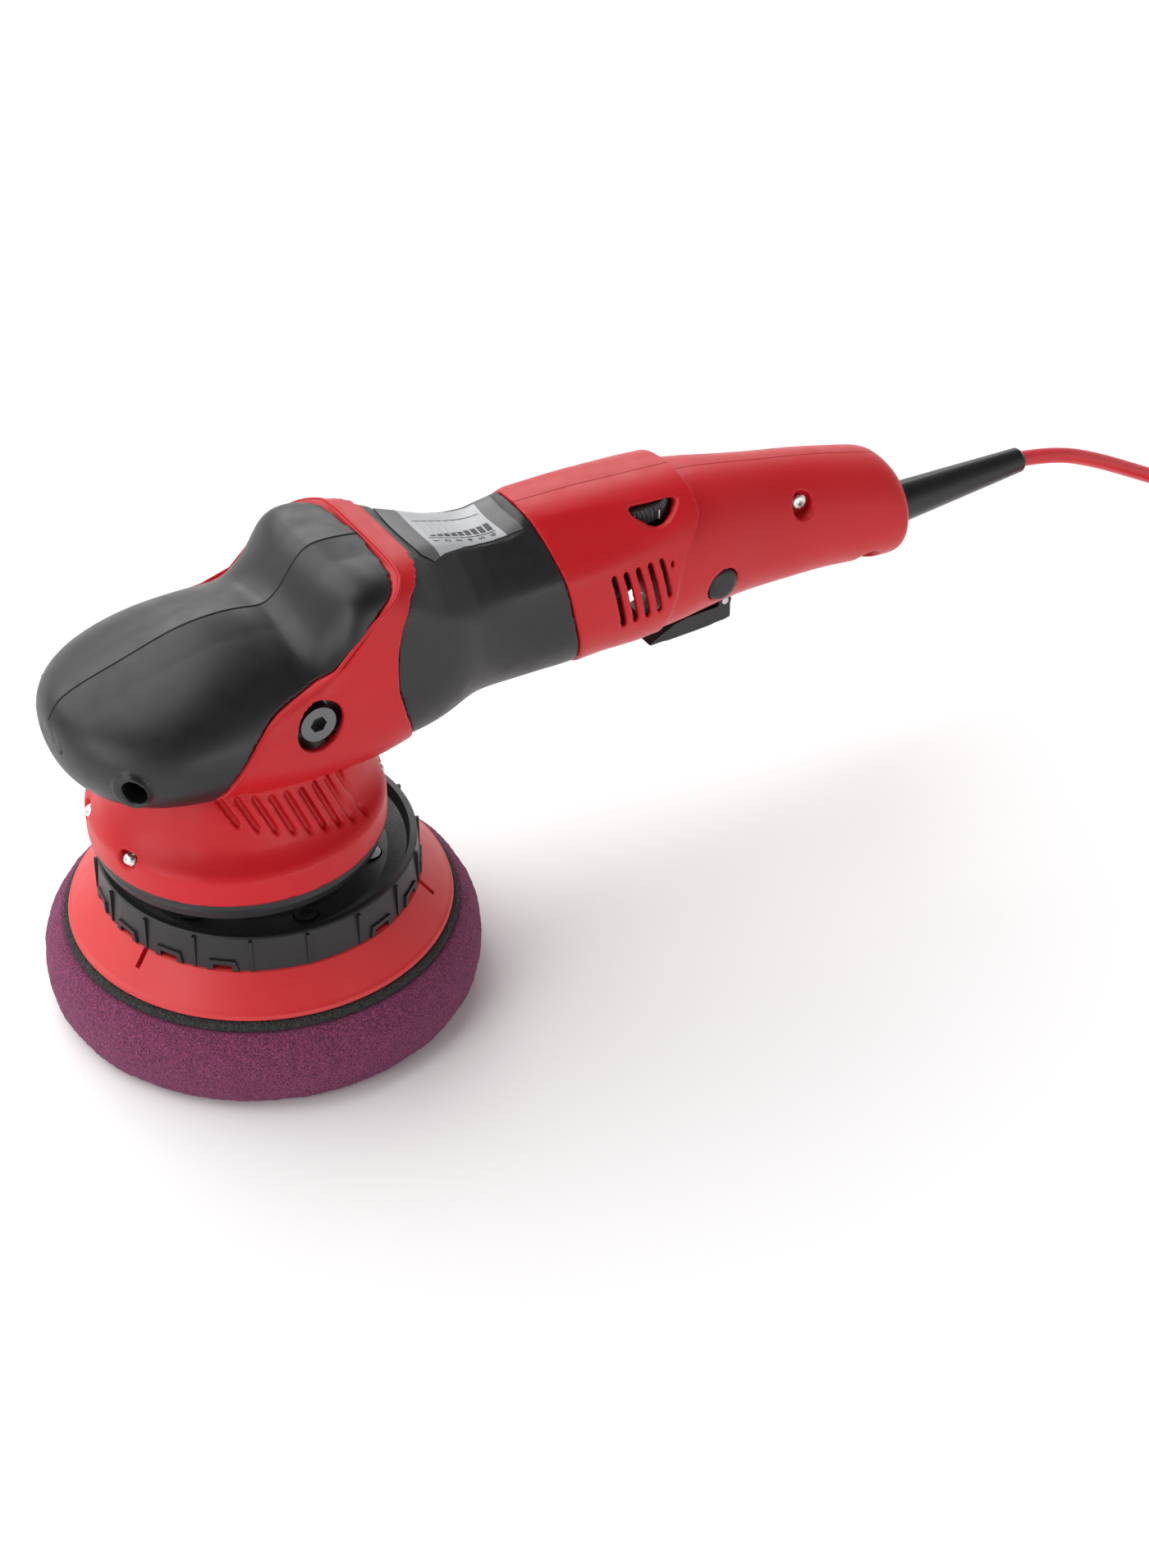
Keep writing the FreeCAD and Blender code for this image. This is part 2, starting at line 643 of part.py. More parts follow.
def motor_housing():
    behind = side_cutter([(x + EDGE_GAP, z) for x, z in BAND_EDGE], [(200, 90), (200, 200)])
    shell = loft(MOTOR).common(behind).cut(loft(MOTOR, -WALL))
    panel = side_cutter([(x, z - 0.7) for x, z in LABEL_TOP], [(119.6, 200), (71, 200)], 20.6)
    shell = shell.cut(panel).cut(block(JOINT_X, 200, -60, 60, 80, 200))
    sleeve = tube_x(29.5, SLEEVE_BORE, 76, JOINT_X + 6)
    rear = turned_x([(JOINT_X, 29.5), (JOINT_X + 8, 29.5), (JOINT_X + 34, 22), (168, 14),
                     (168, 11), (157.8, 11), (157.8, 9), (153, 9), (151, 19.4),
                     (JOINT_X + 6, SLEEVE_BORE), (JOINT_X, SLEEVE_BORE)])
    window = block(130, 152, -40, 40, MOTOR_Z - 9, MOTOR_Z + 9)
    tray = block(128, 150, -9, 9, MOTOR_Z + 12, MOTOR_Z + 40)
    vents = block(128, 150, -9, 9, MOTOR_Z - 40, MOTOR_Z - 12)
    core = cut_all(fuse([sleeve, rear]), [window, tray, vents])
    webs = [tube_x(32, 28.8, x, x + 3) for x in (100, JOINT_X - 4)]
    return shell.fuse(fuse([core] + webs))


def rating_label():
    lower = [(x, z - 0.7) for x, z in LABEL_TOP]
    strip = side_cutter(LABEL_TOP, [(119.6, 165), (71, 165)], 19.8)
    below = side_cutter(lower, [(119.6, 160), (71, 160)], 30)
    return strip.cut(below)


def stator_core():
    stack = tube_x(SLEEVE_BORE - 0.1, 17.6, 80, 124)
    side = block(79, 125, -14, 14, MOTOR_Z + 19.5, MOTOR_Z + 24)
    low = block(79, 125, -14, 14, MOTOR_Z - 24, MOTOR_Z - 19.5)
    return cut_all(stack, [side, low])


def stator_coils():
    def coil(z0, z1):
        outer = block(76.5, 127.5, -13.8, 13.8, z0, z1)
        return outer.common(tube_x(27.5, 18.5, 70, 130))
    return group([coil(MOTOR_Z + 19.6, MOTOR_Z + 23.9), coil(MOTOR_Z - 23.9, MOTOR_Z - 19.6)])


def air_baffle():
    return turned_x([(72.2, 18.4), (72.2, 37), (73.8, 37), (73.8, 30), (75.4, 28.2), (75.4, 26),
                     (73.8, 18.4)]).common(loft(MOTOR, -WALL - 0.05))


def brush_set(y0, y1, half_x, half_z):
    piece = block(141 - half_x, 141 + half_x, y0, y1, MOTOR_Z - half_z, MOTOR_Z + half_z)
    return both_sides(piece)


def brush_holders():
    holders = [outer.cut(inner) for outer, inner in zip(
        brush_set(13, 29.5, 5.6, 6.6), brush_set(12, 28.3, 3.3, 4.3))]
    return group(holders)


def carbon_brushes():
    return group(brush_set(11.05, 22, 3.2, 4.2))


def brush_springs():
    one = spring(2.2, 0.35, 1.5, 5.2, V(141, 22.5, MOTOR_Z), Y)
    return group(both_sides(one))


def gear_case_screws():
    found = []
    for z in (MOTOR_Z + 21, MOTOR_Z - 21):
        found += both_sides(screw(2, 26, 3.4, 2.5, V(43, 24.5, z), X, socket=1.6))
    return group(found)


# ---- handle ----
BUTTON_X = 203.5
BUTTON_Z = 125.0
DIAL_X = 172.0
DIAL_Y = -4.0
DIAL_R = 14.5
DIAL_Z = (161.4, 168.0)
SCREWS = [(245, 145), (281, 105.5), (171, 108.5)]
VENT_PITCH = 4.75


def handle_outer(grow=0.0):
    ending = side_cutter(COLLAR_END, [(260, 95), (260, 185)])
    collar = loft(COLLAR, grow).cut(ending)
    return collar.fuse(loft(GRIP, grow))


def handle_inner():
    wall = 2.6
    collar = loft(COLLAR, -wall)
    collar = collar.common(block(100, 184, -60, 60, 80, 200))
    grip = loft(GRIP, -wall).common(block(183, TAIL_X - 4, -60, 60, 80, 200))
    return collar.fuse(grip)


def vent_cutters():
    cutters = []
    for k in range(7):
        length = (25, 25, 25, 25, 23, 14, 7)[k]
        slot = block(-1.0, 1.0, -45, -20, -length, 0)
        slot.rotate(V(0, 0, 0), Y, -11.5)
        slot.translate(V(148.5 + VENT_PITCH * k, 0, 153))
        cutters += both_sides(slot)
    return cutters


def dial_window():
    return block(164, 187, -40, -12, 163.6, 170.4)


def trigger_opening():
    return block(177, 218.4, -13.4, 13.4, 90, 113)


def handle_half():
    """The left shell's wall and screw posts, with its vents and the trigger's opening."""
    half = block(100, 320, -80, -SEAM, 60, 220)
    outer = handle_outer().common(half)
    within = handle_outer(-0.6).common(half)
    posts = [cylinder(4.6, V(x, -40, z), Y, 40).common(within) for x, z in SCREWS]
    collar = tube_x(22, 9.1, TAIL_X - 12, TAIL_X - 8, GUARD_Z).common(within)
    solid = fuse([outer.cut(handle_inner()), collar] + posts)
    holes = [cylinder(1.8, V(x, -50, z), Y, 60) for x, z in SCREWS]
    tools = holes + vent_cutters() + [trigger_opening()]
    tools.append(along_x(8.9, TAIL_X - 7.9, TAIL_X + 10, z=GUARD_Z))
    return cut_all(solid, tools)


def dial_room():
    return upright(DIAL_R + 0.5, DIAL_Z[0] - 0.5, DIAL_Z[1] + 0.5, DIAL_X, DIAL_Y)


def handle_shell_left():
    heads = [cylinder(3.7, V(x, -50, z), Y, 38) for x, z in SCREWS]
    button = cylinder(7.3, V(BUTTON_X, -40, BUTTON_Z), Y, 30)
    return cut_all(handle_half(), heads + [button, dial_window(), dial_room()])


def handle_shell_right():
    return mirrored(handle_half()).cut(dial_room())


def handle_screws():
    return group([screw(1.7, 23, 3.5, 2.4, V(x, 10.8, z), V(0, -1, 0), socket=1.6)
                  for x, z in SCREWS])


def lock_button():
    cap = cylinder(7.0, V(BUTTON_X, -29.6, BUTTON_Z), Y, 9)
    stem = cylinder(3, V(BUTTON_X, -21, BUTTON_Z), Y, 8.8)
    return fuse([cap, stem])


TRIGGER_PIVOT = (214.5, 106.0)


def trigger_paddle():
    face = Part.Face(Part.makePolygon([V(178.5, -12.8, 99.2), V(184, -12.8, 96.6),
                                       V(211, -12.8, 98.4), V(217, -12.8, 101.6),
                                       V(217, -12.8, 104.5), V(178.5, -12.8, 104.5),
                                       V(178.5, -12.8, 99.2)]))
    body = face.extrude(V(0, 25.6, 0))
    knuckle = cylinder(3, V(TRIGGER_PIVOT[0], -12.8, TRIGGER_PIVOT[1]), Y, 25.6)
    bore = cylinder(1.55, V(TRIGGER_PIVOT[0], -15, TRIGGER_PIVOT[1]), Y, 30)
    return fuse([body, knuckle]).cut(bore)


def trigger_pin():
    return cylinder(1.5, V(TRIGGER_PIVOT[0], -15.5, TRIGGER_PIVOT[1]), Y, 31)


def trigger_spring():
    return spring(2.6, 0.35, 1.6, 4.2, V(189, 0, 105), Z)


def switch_module():
    case = block(190, 222, -8.5, 8.5, 112, 134)
    plunger = block(195, 199, -2.5, 2.5, 109.8, 112)
    return fuse([case, plunger])


def speed_board():
    board = block(170.5, 214, -13, 13, 152.4, 154)
    post = upright(2.2, 153.9, DIAL_Z[0] - 0.4, DIAL_X, DIAL_Y)
    stub = upright(1.5, DIAL_Z[0] - 0.4, DIAL_Z[1] - 1, DIAL_X, DIAL_Y)
    return fuse([board, post, stub])


def board_capacitor():
    return block(186, 204, -8, 8, 139.5, 152.4)


def speed_dial():
    wheel = upright(DIAL_R, DIAL_Z[0], DIAL_Z[1], DIAL_X, DIAL_Y)
    notch = cylinder(0.55, V(DIAL_X + DIAL_R + 0.2, DIAL_Y, DIAL_Z[0] - 1), Z, 12)
    notches = []
    for k in range(36):
        copy = notch.copy()
        copy.rotate(V(DIAL_X, DIAL_Y, 0), Z, 10 * k)
        notches.append(copy)
    bore = upright(1.55, DIAL_Z[0] - 1, DIAL_Z[1] - 0.9, DIAL_X, DIAL_Y)
    return cut_all(wheel, notches + [bore])


def cord_guard():
    return turned_x([(TAIL_X - 14, 0), (TAIL_X - 14, 10.6), (TAIL_X - 12.1, 10.6),
                     (TAIL_X - 12.1, 8.8), (TAIL_X + 3, 8.8), (GUARD_END_X - 1.2, 5.3),
                     (GUARD_END_X, 4.4), (GUARD_END_X, 0)], GUARD_Z)


def cable_clamp():
    return block(266, 272, -12, 12, 108, 111.6)


# ---- cord, coil, tie and plug ----
ROUTE = [(GUARD_END_X, 0, GUARD_Z), (389, 0, 111), (412, 0, 101), (446, 0, 81),
         (481, -1, 61), (517, -5, 42), (546, -17, 26), (561, -38, 11.5), (559.2, -62, 3.4)]
TAIL_ROUTE = [(550.4, -48.6, 29.7), (552.6, -76.1, 31.5), (532.7, -96, 35), (504.5, -96, 38.5),
              (PLUG_X, -79, PLUG_Z), (PLUG_X, -60, PLUG_Z)]


def cord_tube():
    return bent_tube(ROUTE, CORD_R)


def cord_tail():
    return bent_tube(TAIL_ROUTE, CORD_R)


def cord_coil():
    ease = 2.5
    ring = [(COIL_INNER + ease, 0), (COIL_OUTER - ease, 0), (COIL_OUTER, ease),
            (COIL_OUTER, COIL_TOP - ease), (COIL_OUTER - ease, COIL_TOP),
            (COIL_INNER + ease, COIL_TOP), (COIL_INNER, COIL_TOP - ease), (COIL_INNER, ease)]
    solid = turned(ring)
    solid.translate(V(COIL_X, COIL_Y, 0))
    return solid


def cord_tie():
    outer = block(-3.5, 3.5, COIL_INNER - 1.3, COIL_OUTER + 1.3, 0, COIL_TOP + 1.3)
    inner = block(-5, 5, COIL_INNER, COIL_OUTER, 1.3, COIL_TOP)
    strap = spin(outer.cut(inner), 135)
    strap.translate(V(COIL_X, COIL_Y, 0))
    return strap


PLUG_BACK_Y = -46.0
PLUG_FRONT_Y = -10.0


def plug():
    half_wide, half_thick = 18.0, 9.0
    body = block(PLUG_X - half_wide, PLUG_X + half_wide, PLUG_BACK_Y, PLUG_FRONT_Y,
                 PLUG_Z - half_thick, PLUG_Z + half_thick)
    body = body.makeFillet(6.0, [e for e in body.Edges
                                 if abs(e.tangentAt(e.FirstParameter).y) > 0.9])
    guard = Part.makeCone(4.2, 6.5, 14, V(PLUG_X, PLUG_BACK_Y - 14, PLUG_Z), Y)
    return fuse([body, guard])


def plug_pins():
    return group([cylinder(PIN_R, V(PLUG_X + s * PIN_SPREAD / 2, PLUG_FRONT_Y, PLUG_Z), Y, PIN_LENGTH)
                  for s in (-1, 1)])


PIECES = [
    foam_pad, interface_layer, backing_plate, fan_ring, ring_screws, pad_hub,
    pad_centre_bolt, pad_bearing_outer_race, pad_bearing_inner_race, pad_circlip,
    spindle, counterweight, crown_gear, bevel_pinion, pinion_nut,
    spindle_bearing_outer_races, spindle_bearing_inner_races,
    armature_shaft, armature_core, armature_windings, commutator, cooling_fan,
    armature_bearing_outer_races, armature_bearing_inner_races,
    gear_case, bearing_retainer, head_cover, gear_housing, rim_screws, side_bolts,
    shroud_ring, motor_housing, rating_label, stator_core, stator_coils, air_baffle,
    brush_holders, carbon_brushes, brush_springs, gear_case_screws,
    handle_shell_left, handle_shell_right, handle_screws, lock_button,
    trigger_paddle, trigger_pin, trigger_spring, switch_module,
    speed_board, board_capacitor, speed_dial, cord_guard, cable_clamp,
    cord_tube, cord_tail, cord_coil, cord_tie, plug, plug_pins,
]

os.makedirs("parts", exist_ok=True)
for piece in PIECES:
    shape = piece()
    shape.exportStep("parts/%s.step" % piece.__name__)
    print("%-30s %2d solids %8.1f cm3 %s" % (piece.__name__, len(shape.Solids),
                                            shape.Volume / 1000, shape.isValid()))
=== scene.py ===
import json
import math

import bmesh
import bpy
import numpy as np
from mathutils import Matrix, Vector, noise


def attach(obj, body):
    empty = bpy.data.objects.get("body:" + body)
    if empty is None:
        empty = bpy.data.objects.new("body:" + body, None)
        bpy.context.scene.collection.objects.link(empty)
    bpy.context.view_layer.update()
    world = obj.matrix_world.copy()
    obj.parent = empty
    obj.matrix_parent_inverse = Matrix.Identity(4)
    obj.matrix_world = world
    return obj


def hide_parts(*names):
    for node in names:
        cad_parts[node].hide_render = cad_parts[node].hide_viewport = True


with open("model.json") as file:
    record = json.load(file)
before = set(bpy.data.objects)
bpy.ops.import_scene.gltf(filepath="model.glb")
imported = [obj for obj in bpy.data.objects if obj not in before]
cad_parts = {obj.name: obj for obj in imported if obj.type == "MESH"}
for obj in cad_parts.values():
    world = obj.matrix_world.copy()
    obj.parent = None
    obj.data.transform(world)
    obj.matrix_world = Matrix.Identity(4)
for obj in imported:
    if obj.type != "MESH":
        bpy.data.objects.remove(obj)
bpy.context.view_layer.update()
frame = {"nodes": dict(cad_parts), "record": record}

MM = 0.001                      # the shapes below are worked out in millimetres
X, Y, Z = Vector((1, 0, 0)), Vector((0, 1, 0)), Vector((0, 0, 1))


# ---- camera, light and floor ----
def look(obj, place, target):
    obj.location = place
    obj.rotation_euler = (Vector(target) - Vector(place)).to_track_quat("-Z", "Y").to_euler()


def link(name, data):
    obj = bpy.data.objects.new(name, data)
    bpy.context.scene.collection.objects.link(obj)
    return obj


def make_camera():
    azimuth, elevation, distance = math.radians(31.75), math.radians(37.73), 1.276
    target = Vector((0.10935, -0.06767, 0.0923))
    towards = Vector((math.sin(azimuth) * math.cos(elevation),
                      math.cos(azimuth) * math.cos(elevation), -math.sin(elevation)))
    data = bpy.data.cameras.new("camera")
    data.sensor_width = 36
    data.lens = 77.28
    camera = link("camera", data)
    look(camera, target - towards * distance, target)
    bpy.context.scene.camera = camera


def area_light(name, place, target, size, energy):
    data = bpy.data.lights.new(name, "AREA")
    data.shape = "RECTANGLE"
    data.size, data.size_y = size
    data.energy = energy
    look(link(name, data), place, target)


def make_studio():
    middle = (0.11, 0, 0.1)
    area_light("left_window", (-1.3, -0.3, 0.6), middle, (0.7, 1.2), 7)
    area_light("front_fill", (0.4, -1.5, 0.35), middle, (1.4, 0.5), 4)
    area_light("rear_edge", (0.7, 1.3, 0.9), middle, (1.2, 0.6), 7)
    sky = bpy.data.lights.new("soft_sun", "SUN")
    sky.energy = 2.7
    sky.angle = math.radians(70)
    look(link("soft_sun", sky), (-0.3, 0.75, 1.2), middle)
    world = bpy.data.worlds.new("studio")
    world.use_nodes = True
    nodes, wire = world.node_tree.nodes, world.node_tree.links.new
    background = nodes["Background"]
    background.inputs["Color"].default_value = (1.0, 1.0, 1.0, 1)
    split = nodes.new("ShaderNodeSeparateXYZ")
    wire(nodes.new("ShaderNodeTexCoord").outputs["Generated"], split.inputs["Vector"])
    dome = nodes.new("ShaderNodeMapRange")          # bright at the horizon, dim overhead
    dome.inputs["From Min"].default_value = 0.1
    dome.inputs["From Max"].default_value = 0.75
    dome.inputs["To Min"].default_value = 0.85
    dome.inputs["To Max"].default_value = 0.12
    wire(split.outputs["Z"], dome.inputs["Value"])
    wire(dome.outputs["Result"], background.inputs["Strength"])
    bpy.context.scene.world = world
    bpy.context.scene.view_settings.view_transform = "Standard"
    mesh = bpy.data.meshes.new("floor")
    reach = 40.0
    corners = [(-reach, -reach, 0), (reach, -reach, 0), (reach, reach, 0), (-reach, reach, 0)]
    mesh.from_pydata(corners, [], [(0, 1, 2, 3)])
    floor = link("floor", mesh)
    finish = bpy.data.materials.new("floor")
    finish.use_nodes = True
    shader = finish.node_tree.nodes["Principled BSDF"]
    shader.inputs["Base Color"].default_value = (0.97, 0.97, 0.97, 1)
    shader.inputs["Roughness"].default_value = 0.7
    mesh.materials.append(finish)


# ---- materials ----
class Recipe:
    """A material being put together from nodes."""

    def __init__(self, name):
        self.material = bpy.data.materials.new(name)
        self.material.use_nodes = True
        self.tree = self.material.node_tree
        self.shader = self.tree.nodes["Principled BSDF"]
        self.place = self.add("ShaderNodeTexCoord").outputs["Object"]
        self.height = None

    def add(self, kind, **settings):
        node = self.tree.nodes.new(kind)
        for key, value in settings.items():
            setattr(node, key, value)
        return node

    def wire(self, source, target):
        self.tree.links.new(source, target)

    def set(self, **values):
        for key, value in values.items():
            self.shader.inputs[key.replace("_", " ")].default_value = value

    def noise(self, per_metre, detail=2.0, roughness=0.5, source=None):
        node = self.add("ShaderNodeTexNoise")
        node.inputs["Scale"].default_value = per_metre
        node.inputs["Detail"].default_value = detail
        node.inputs["Roughness"].default_value = roughness
        self.wire(source or self.place, node.inputs["Vector"])
        return node.outputs["Fac"]

    def cells(self, per_metre):
        node = self.add("ShaderNodeTexVoronoi", feature="F1")
        node.inputs["Scale"].default_value = per_metre
        self.wire(self.place, node.inputs["Vector"])
        return node.outputs["Distance"]

    def remap(self, source, low, high, out_low, out_high):
        node = self.add("ShaderNodeMapRange")
        node.inputs["From Min"].default_value = low
        node.inputs["From Max"].default_value = high
        node.inputs["To Min"].default_value = out_low
        node.inputs["To Max"].default_value = out_high
        self.wire(source, node.inputs["Value"])
        return node.outputs["Result"]

    def mix(self, factor, first, second):
        node = self.add("ShaderNodeMix", data_type="RGBA")
        self.wire(factor, node.inputs["Factor"])
        for socket, value in ((node.inputs[6], first), (node.inputs[7], second)):
            if isinstance(value, tuple):
                socket.default_value = (*value, 1)
            else:
                self.wire(value, socket)
        return node.outputs[2]

    def colour(self, source):
        self.wire(source, self.shader.inputs["Base Color"])

    def roughness(self, source):
        self.wire(source, self.shader.inputs["Roughness"])

    def bump(self, source, depth):
        node = self.add("ShaderNodeBump")
        node.inputs["Strength"].default_value = 1.0
        node.inputs["Distance"].default_value = depth
        self.wire(source, node.inputs["Height"])
        if self.height is not None:
            self.wire(self.height, node.inputs["Normal"])
        self.height = node.outputs["Normal"]
        self.wire(self.height, self.shader.inputs["Normal"])


def shade(colour, amount):
    return tuple(min(1.0, c * amount) for c in colour)


def moulded(name, colour, rough, grain_per_metre, grain_depth, spread=0.06, **values):
    """Moulded plastic or rubber: fine spark grain, a faint mottle and uneven gloss."""
    made = Recipe(name)
    broad = made.noise(22, 3)
    made.colour(made.mix(made.remap(broad, 0.3, 0.7, 0, 1),
                         shade(colour, 1 - spread), shade(colour, 1 + spread)))
    grain = made.noise(grain_per_metre, 3, 0.6)
    fine = made.noise(160, 2)
    made.roughness(made.remap(fine, 0.3, 0.7, rough - 0.04, rough + 0.05))
    made.bump(grain, grain_depth)
    made.set(**values)
    return made.material


def metal(name, colour, rough, brush=(1, 1, 1), per_metre=900, depth=0.00002):
    made = Recipe(name)
    stretch = made.add("ShaderNodeMapping")
    stretch.inputs["Scale"].default_value = brush
    made.wire(made.place, stretch.inputs["Vector"])
    lines = made.noise(per_metre, 3, 0.6, stretch.outputs["Vector"])
    made.colour(made.mix(made.noise(60, 3), shade(colour, 0.88), shade(colour, 1.06)))
    made.roughness(made.remap(lines, 0.3, 0.7, rough - 0.06, rough + 0.1))
    made.bump(lines, depth)
    made.set(Metallic=1.0)
    return made.material


RED = (0.52, 0.009, 0.014)
PLATE_RED = (0.60, 0.025, 0.028)
BLACK = (0.0065, 0.0065, 0.0075)


def make_materials():
    found = {}
    found["red_plastic"] = moulded("red_plastic", RED, 0.38, 2600, 0.00002, 0.04,
                                   Specular_IOR_Level=0.3)
    found["plate_red"] = moulded("plate_red", PLATE_RED, 0.42, 1800, 0.00002, 0.03)
    found["soft_black"] = moulded("soft_black", BLACK, 0.40, 3200, 0.00002, 0.05,
                                  Specular_IOR_Level=0.5)
    for make, name, *values in (
            (moulded, "black_plastic", (0.009, 0.009, 0.0105), 0.40, 1500, 0.00012, 0.1),
            (moulded, "black_rubber", (0.008, 0.008, 0.009), 0.30, 900, 0.00002, 0.08),
            (moulded, "cord_red", (0.60, 0.02, 0.03), 0.4, 700, 0.00003, 0.05),
            (metal, "steel", (0.60, 0.60, 0.60), 0.28),
            (metal, "zinc_steel", (0.74, 0.74, 0.72), 0.24),
            (metal, "black_steel", (0.17, 0.17, 0.175), 0.38),
            (metal, "aluminium", (0.66, 0.67, 0.68), 0.42, (1, 1, 1), 900, 0.00008),
            (metal, "laminations", (0.30, 0.30, 0.32), 0.45, (60, 1, 1), 60, 0.0001),
            (metal, "copper", (0.72, 0.33, 0.16), 0.35, (1, 14, 14), 120, 0.0002),
            (metal, "brass", (0.70, 0.52, 0.24), 0.3),
            (moulded, "carbon", (0.02, 0.02, 0.022), 0.5, 1200, 0.00005),
            (moulded, "board", (0.012, 0.11, 0.03), 0.35, 500, 0.00002),
            (moulded, "capacitor_film", (0.5, 0.33, 0.03), 0.3, 300, 0.00002),
            (moulded, "label", (0.42, 0.43, 0.44), 0.3, 1200, 0.00001),
            (moulded, "label_grey", (0.10, 0.10, 0.105), 0.4, 1200, 0.00001),
            (moulded, "label_print", (0.03, 0.03, 0.033), 0.45, 900, 0.00001),
            (moulded, "dial_grip", (0.035, 0.035, 0.037), 0.3, 1500, 0.00002, 0.08),
            (moulded, "mark_white", (0.93, 0.93, 0.92), 0.5, 900, 0.00001)):
        found[name] = make(name, *values)
    found["foam"] = make_foam()
    found["hook_layer"] = make_hook_layer()
    return found


def make_foam():
    made = Recipe("foam")
    pore_pits_and_shade = made.cells(1300)
    small = made.cells(2900)
    fleck = made.noise(1500, 4, 0.7)
    dark, light = (0.05, 0.004, 0.022), (0.40, 0.06, 0.19)
    base = made.mix(made.remap(fleck, 0.36, 0.66, 0, 1), dark, light)
    # painted shade: the pores are coloured near-black towards their middles, on top of their real
    # bump
    made.colour(made.mix(made.remap(pore_pits_and_shade, 0.05, 0.42, 1, 0), base, (0.022, 0.002, 0.010)))
    made.set(Roughness=0.9)
    made.shader.inputs["Sheen Weight"].default_value = 0.12
    made.shader.inputs["Sheen Tint"].default_value = (0.9, 0.5, 0.75, 1)
    made.bump(pore_pits_and_shade, 0.0006)
    made.bump(small, 0.0003)
    return made.material


def make_hook_layer():
    made = Recipe("hook_layer")
    loop_dimples_and_shade = made.cells(900)
    # painted shade: the loop layer is coloured darker in its dimples than on its ridges, following
    # its real bump
    made.colour(made.mix(made.remap(loop_dimples_and_shade, 0.1, 0.6, 0, 1),
                         (0.004, 0.004, 0.004), (0.03, 0.03, 0.03)))
    made.set(Roughness=0.85)
    made.bump(loop_dimples_and_shade, 0.001)
    return made.material


def coat(obj, material):
    obj.data.materials.clear()
    obj.data.materials.append(MATERIALS[material])


make_camera()
make_studio()
MATERIALS = make_materials()
SLOT_OF = {row["node"]: row["material_slot"] for row in frame["record"]["subparts"]}
for node_name, node in frame["nodes"].items():
    coat(node, SLOT_OF[node_name])


# ---- mesh tools ----
# shading angles in degrees: edges sharper than this stay crisp
CUT_EDGE = 38
SHEET_EDGE = 30
REMESHED_EDGE = 50


def build(name, points, faces, material, smooth_angle=CUT_EDGE):
    """A mesh object from points in millimetres."""
    mesh = bpy.data.meshes.new(name)
    mesh.from_pydata([Vector(p) * MM for p in points], [], faces)
    mesh.update()
    obj = link(name, mesh)
    if material:
        mesh.materials.append(MATERIALS[material])
    soften(obj, smooth_angle)
    return obj


def soften(obj, angle=CUT_EDGE):
    mesh = obj.data
    mesh.polygons.foreach_set("use_smooth", [True] * len(mesh.polygons))
    mesh.set_sharp_from_angle(angle=math.radians(angle))


def loops_to_faces(count, around, joined=False):
    """Faces between rings of points: a polygon closes each end, or the ends are joined."""
    faces = []
    last = count if joined else count - 1
    for i in range(last):
        a, b = i * around, (i + 1) % count * around
        for j in range(around):
            k = (j + 1) % around
            faces.append((a + j, a + k, b + k, b + j))
    if not joined:
        faces.append(tuple(reversed(range(around))))
        faces.append(tuple(range((count - 1) * around, count * around)))
    return faces


def skin(name, rings, material, joined=False):
    """A closed solid through rings of points, each a list of the same length."""
    flat = [p for ring in rings for p in ring]
    return build(name, flat, loops_to_faces(len(rings), len(rings[0]), joined), material)


def sheet_faces(n, m):
    """Faces of a plate: n rows of m points on top, the same below, and the rim between."""
    faces = []
    for i in range(n - 1):
        for j in range(m - 1):
            a = i * m + j
            faces.append((a, a + 1, a + m + 1, a + m))
            faces.append((n * m + a, n * m + a + m, n * m + a + m + 1, n * m + a + 1))
    rim = list(range(m)) + [i * m + m - 1 for i in range(1, n)]
    rim += [(n - 1) * m + j for j in range(m - 2, -1, -1)] + [i * m for i in range(n - 2, 0, -1)]
    for k, here in enumerate(rim):
        there = rim[(k + 1) % len(rim)]
        faces.append((here, n * m + here, n * m + there, there))
    return faces


def spokes(count):
    """Cosine and sine at even steps round a circle."""
    return [(math.cos(2 * math.pi * k / count), math.sin(2 * math.pi * k / count))
            for k in range(count)]


def face_outwards(obj):
    work = bmesh.new()
    work.from_mesh(obj.data)
    bmesh.ops.recalc_face_normals(work, faces=work.faces)
    work.to_mesh(obj.data)
    work.free()


def apply_modifiers(obj):
    bpy.context.view_layer.update()
    graph = bpy.context.evaluated_depsgraph_get()
    mesh = bpy.data.meshes.new_from_object(obj.evaluated_get(graph))
    obj.modifiers.clear()
    obj.data = mesh


def combine(obj, others, operation):
    """Boolean of obj with each of the others, which are used up."""
    for other in others:
        face_outwards(other)
        step = obj.modifiers.new("step", "BOOLEAN")
        step.operation = operation
        step.solver = "MANIFOLD"
        step.object = other
        apply_modifiers(obj)
        bpy.data.objects.remove(other)
    return obj


def join(name, objects):
    """One mesh that holds all the objects' faces, as they are."""
    work = bmesh.new()
    for obj in objects:
        work.from_mesh(obj.data)
    mesh = bpy.data.meshes.new(name)
    work.to_mesh(mesh)
    work.free()
    material = objects[0].data.materials[0] if objects[0].data.materials else None
    for obj in objects:
        bpy.data.objects.remove(obj)
    whole = link(name, mesh)
    if material:
        mesh.materials.append(material)
    return whole


def remesh(obj, voxel, rounds):
    """One skin round everything in obj; more rounds make softer edges."""
    material = obj.data.materials[0] if obj.data.materials else None
    step = obj.modifiers.new("voxels", "REMESH")
    step.mode = "VOXEL"
    step.voxel_size = voxel * MM
    relax = obj.modifiers.new("relax", "SMOOTH")
    relax.factor = 0.5
    relax.iterations = rounds
    apply_modifiers(obj)
    if material and not obj.data.materials:
        obj.data.materials.append(material)
    soften(obj, REMESHED_EDGE)


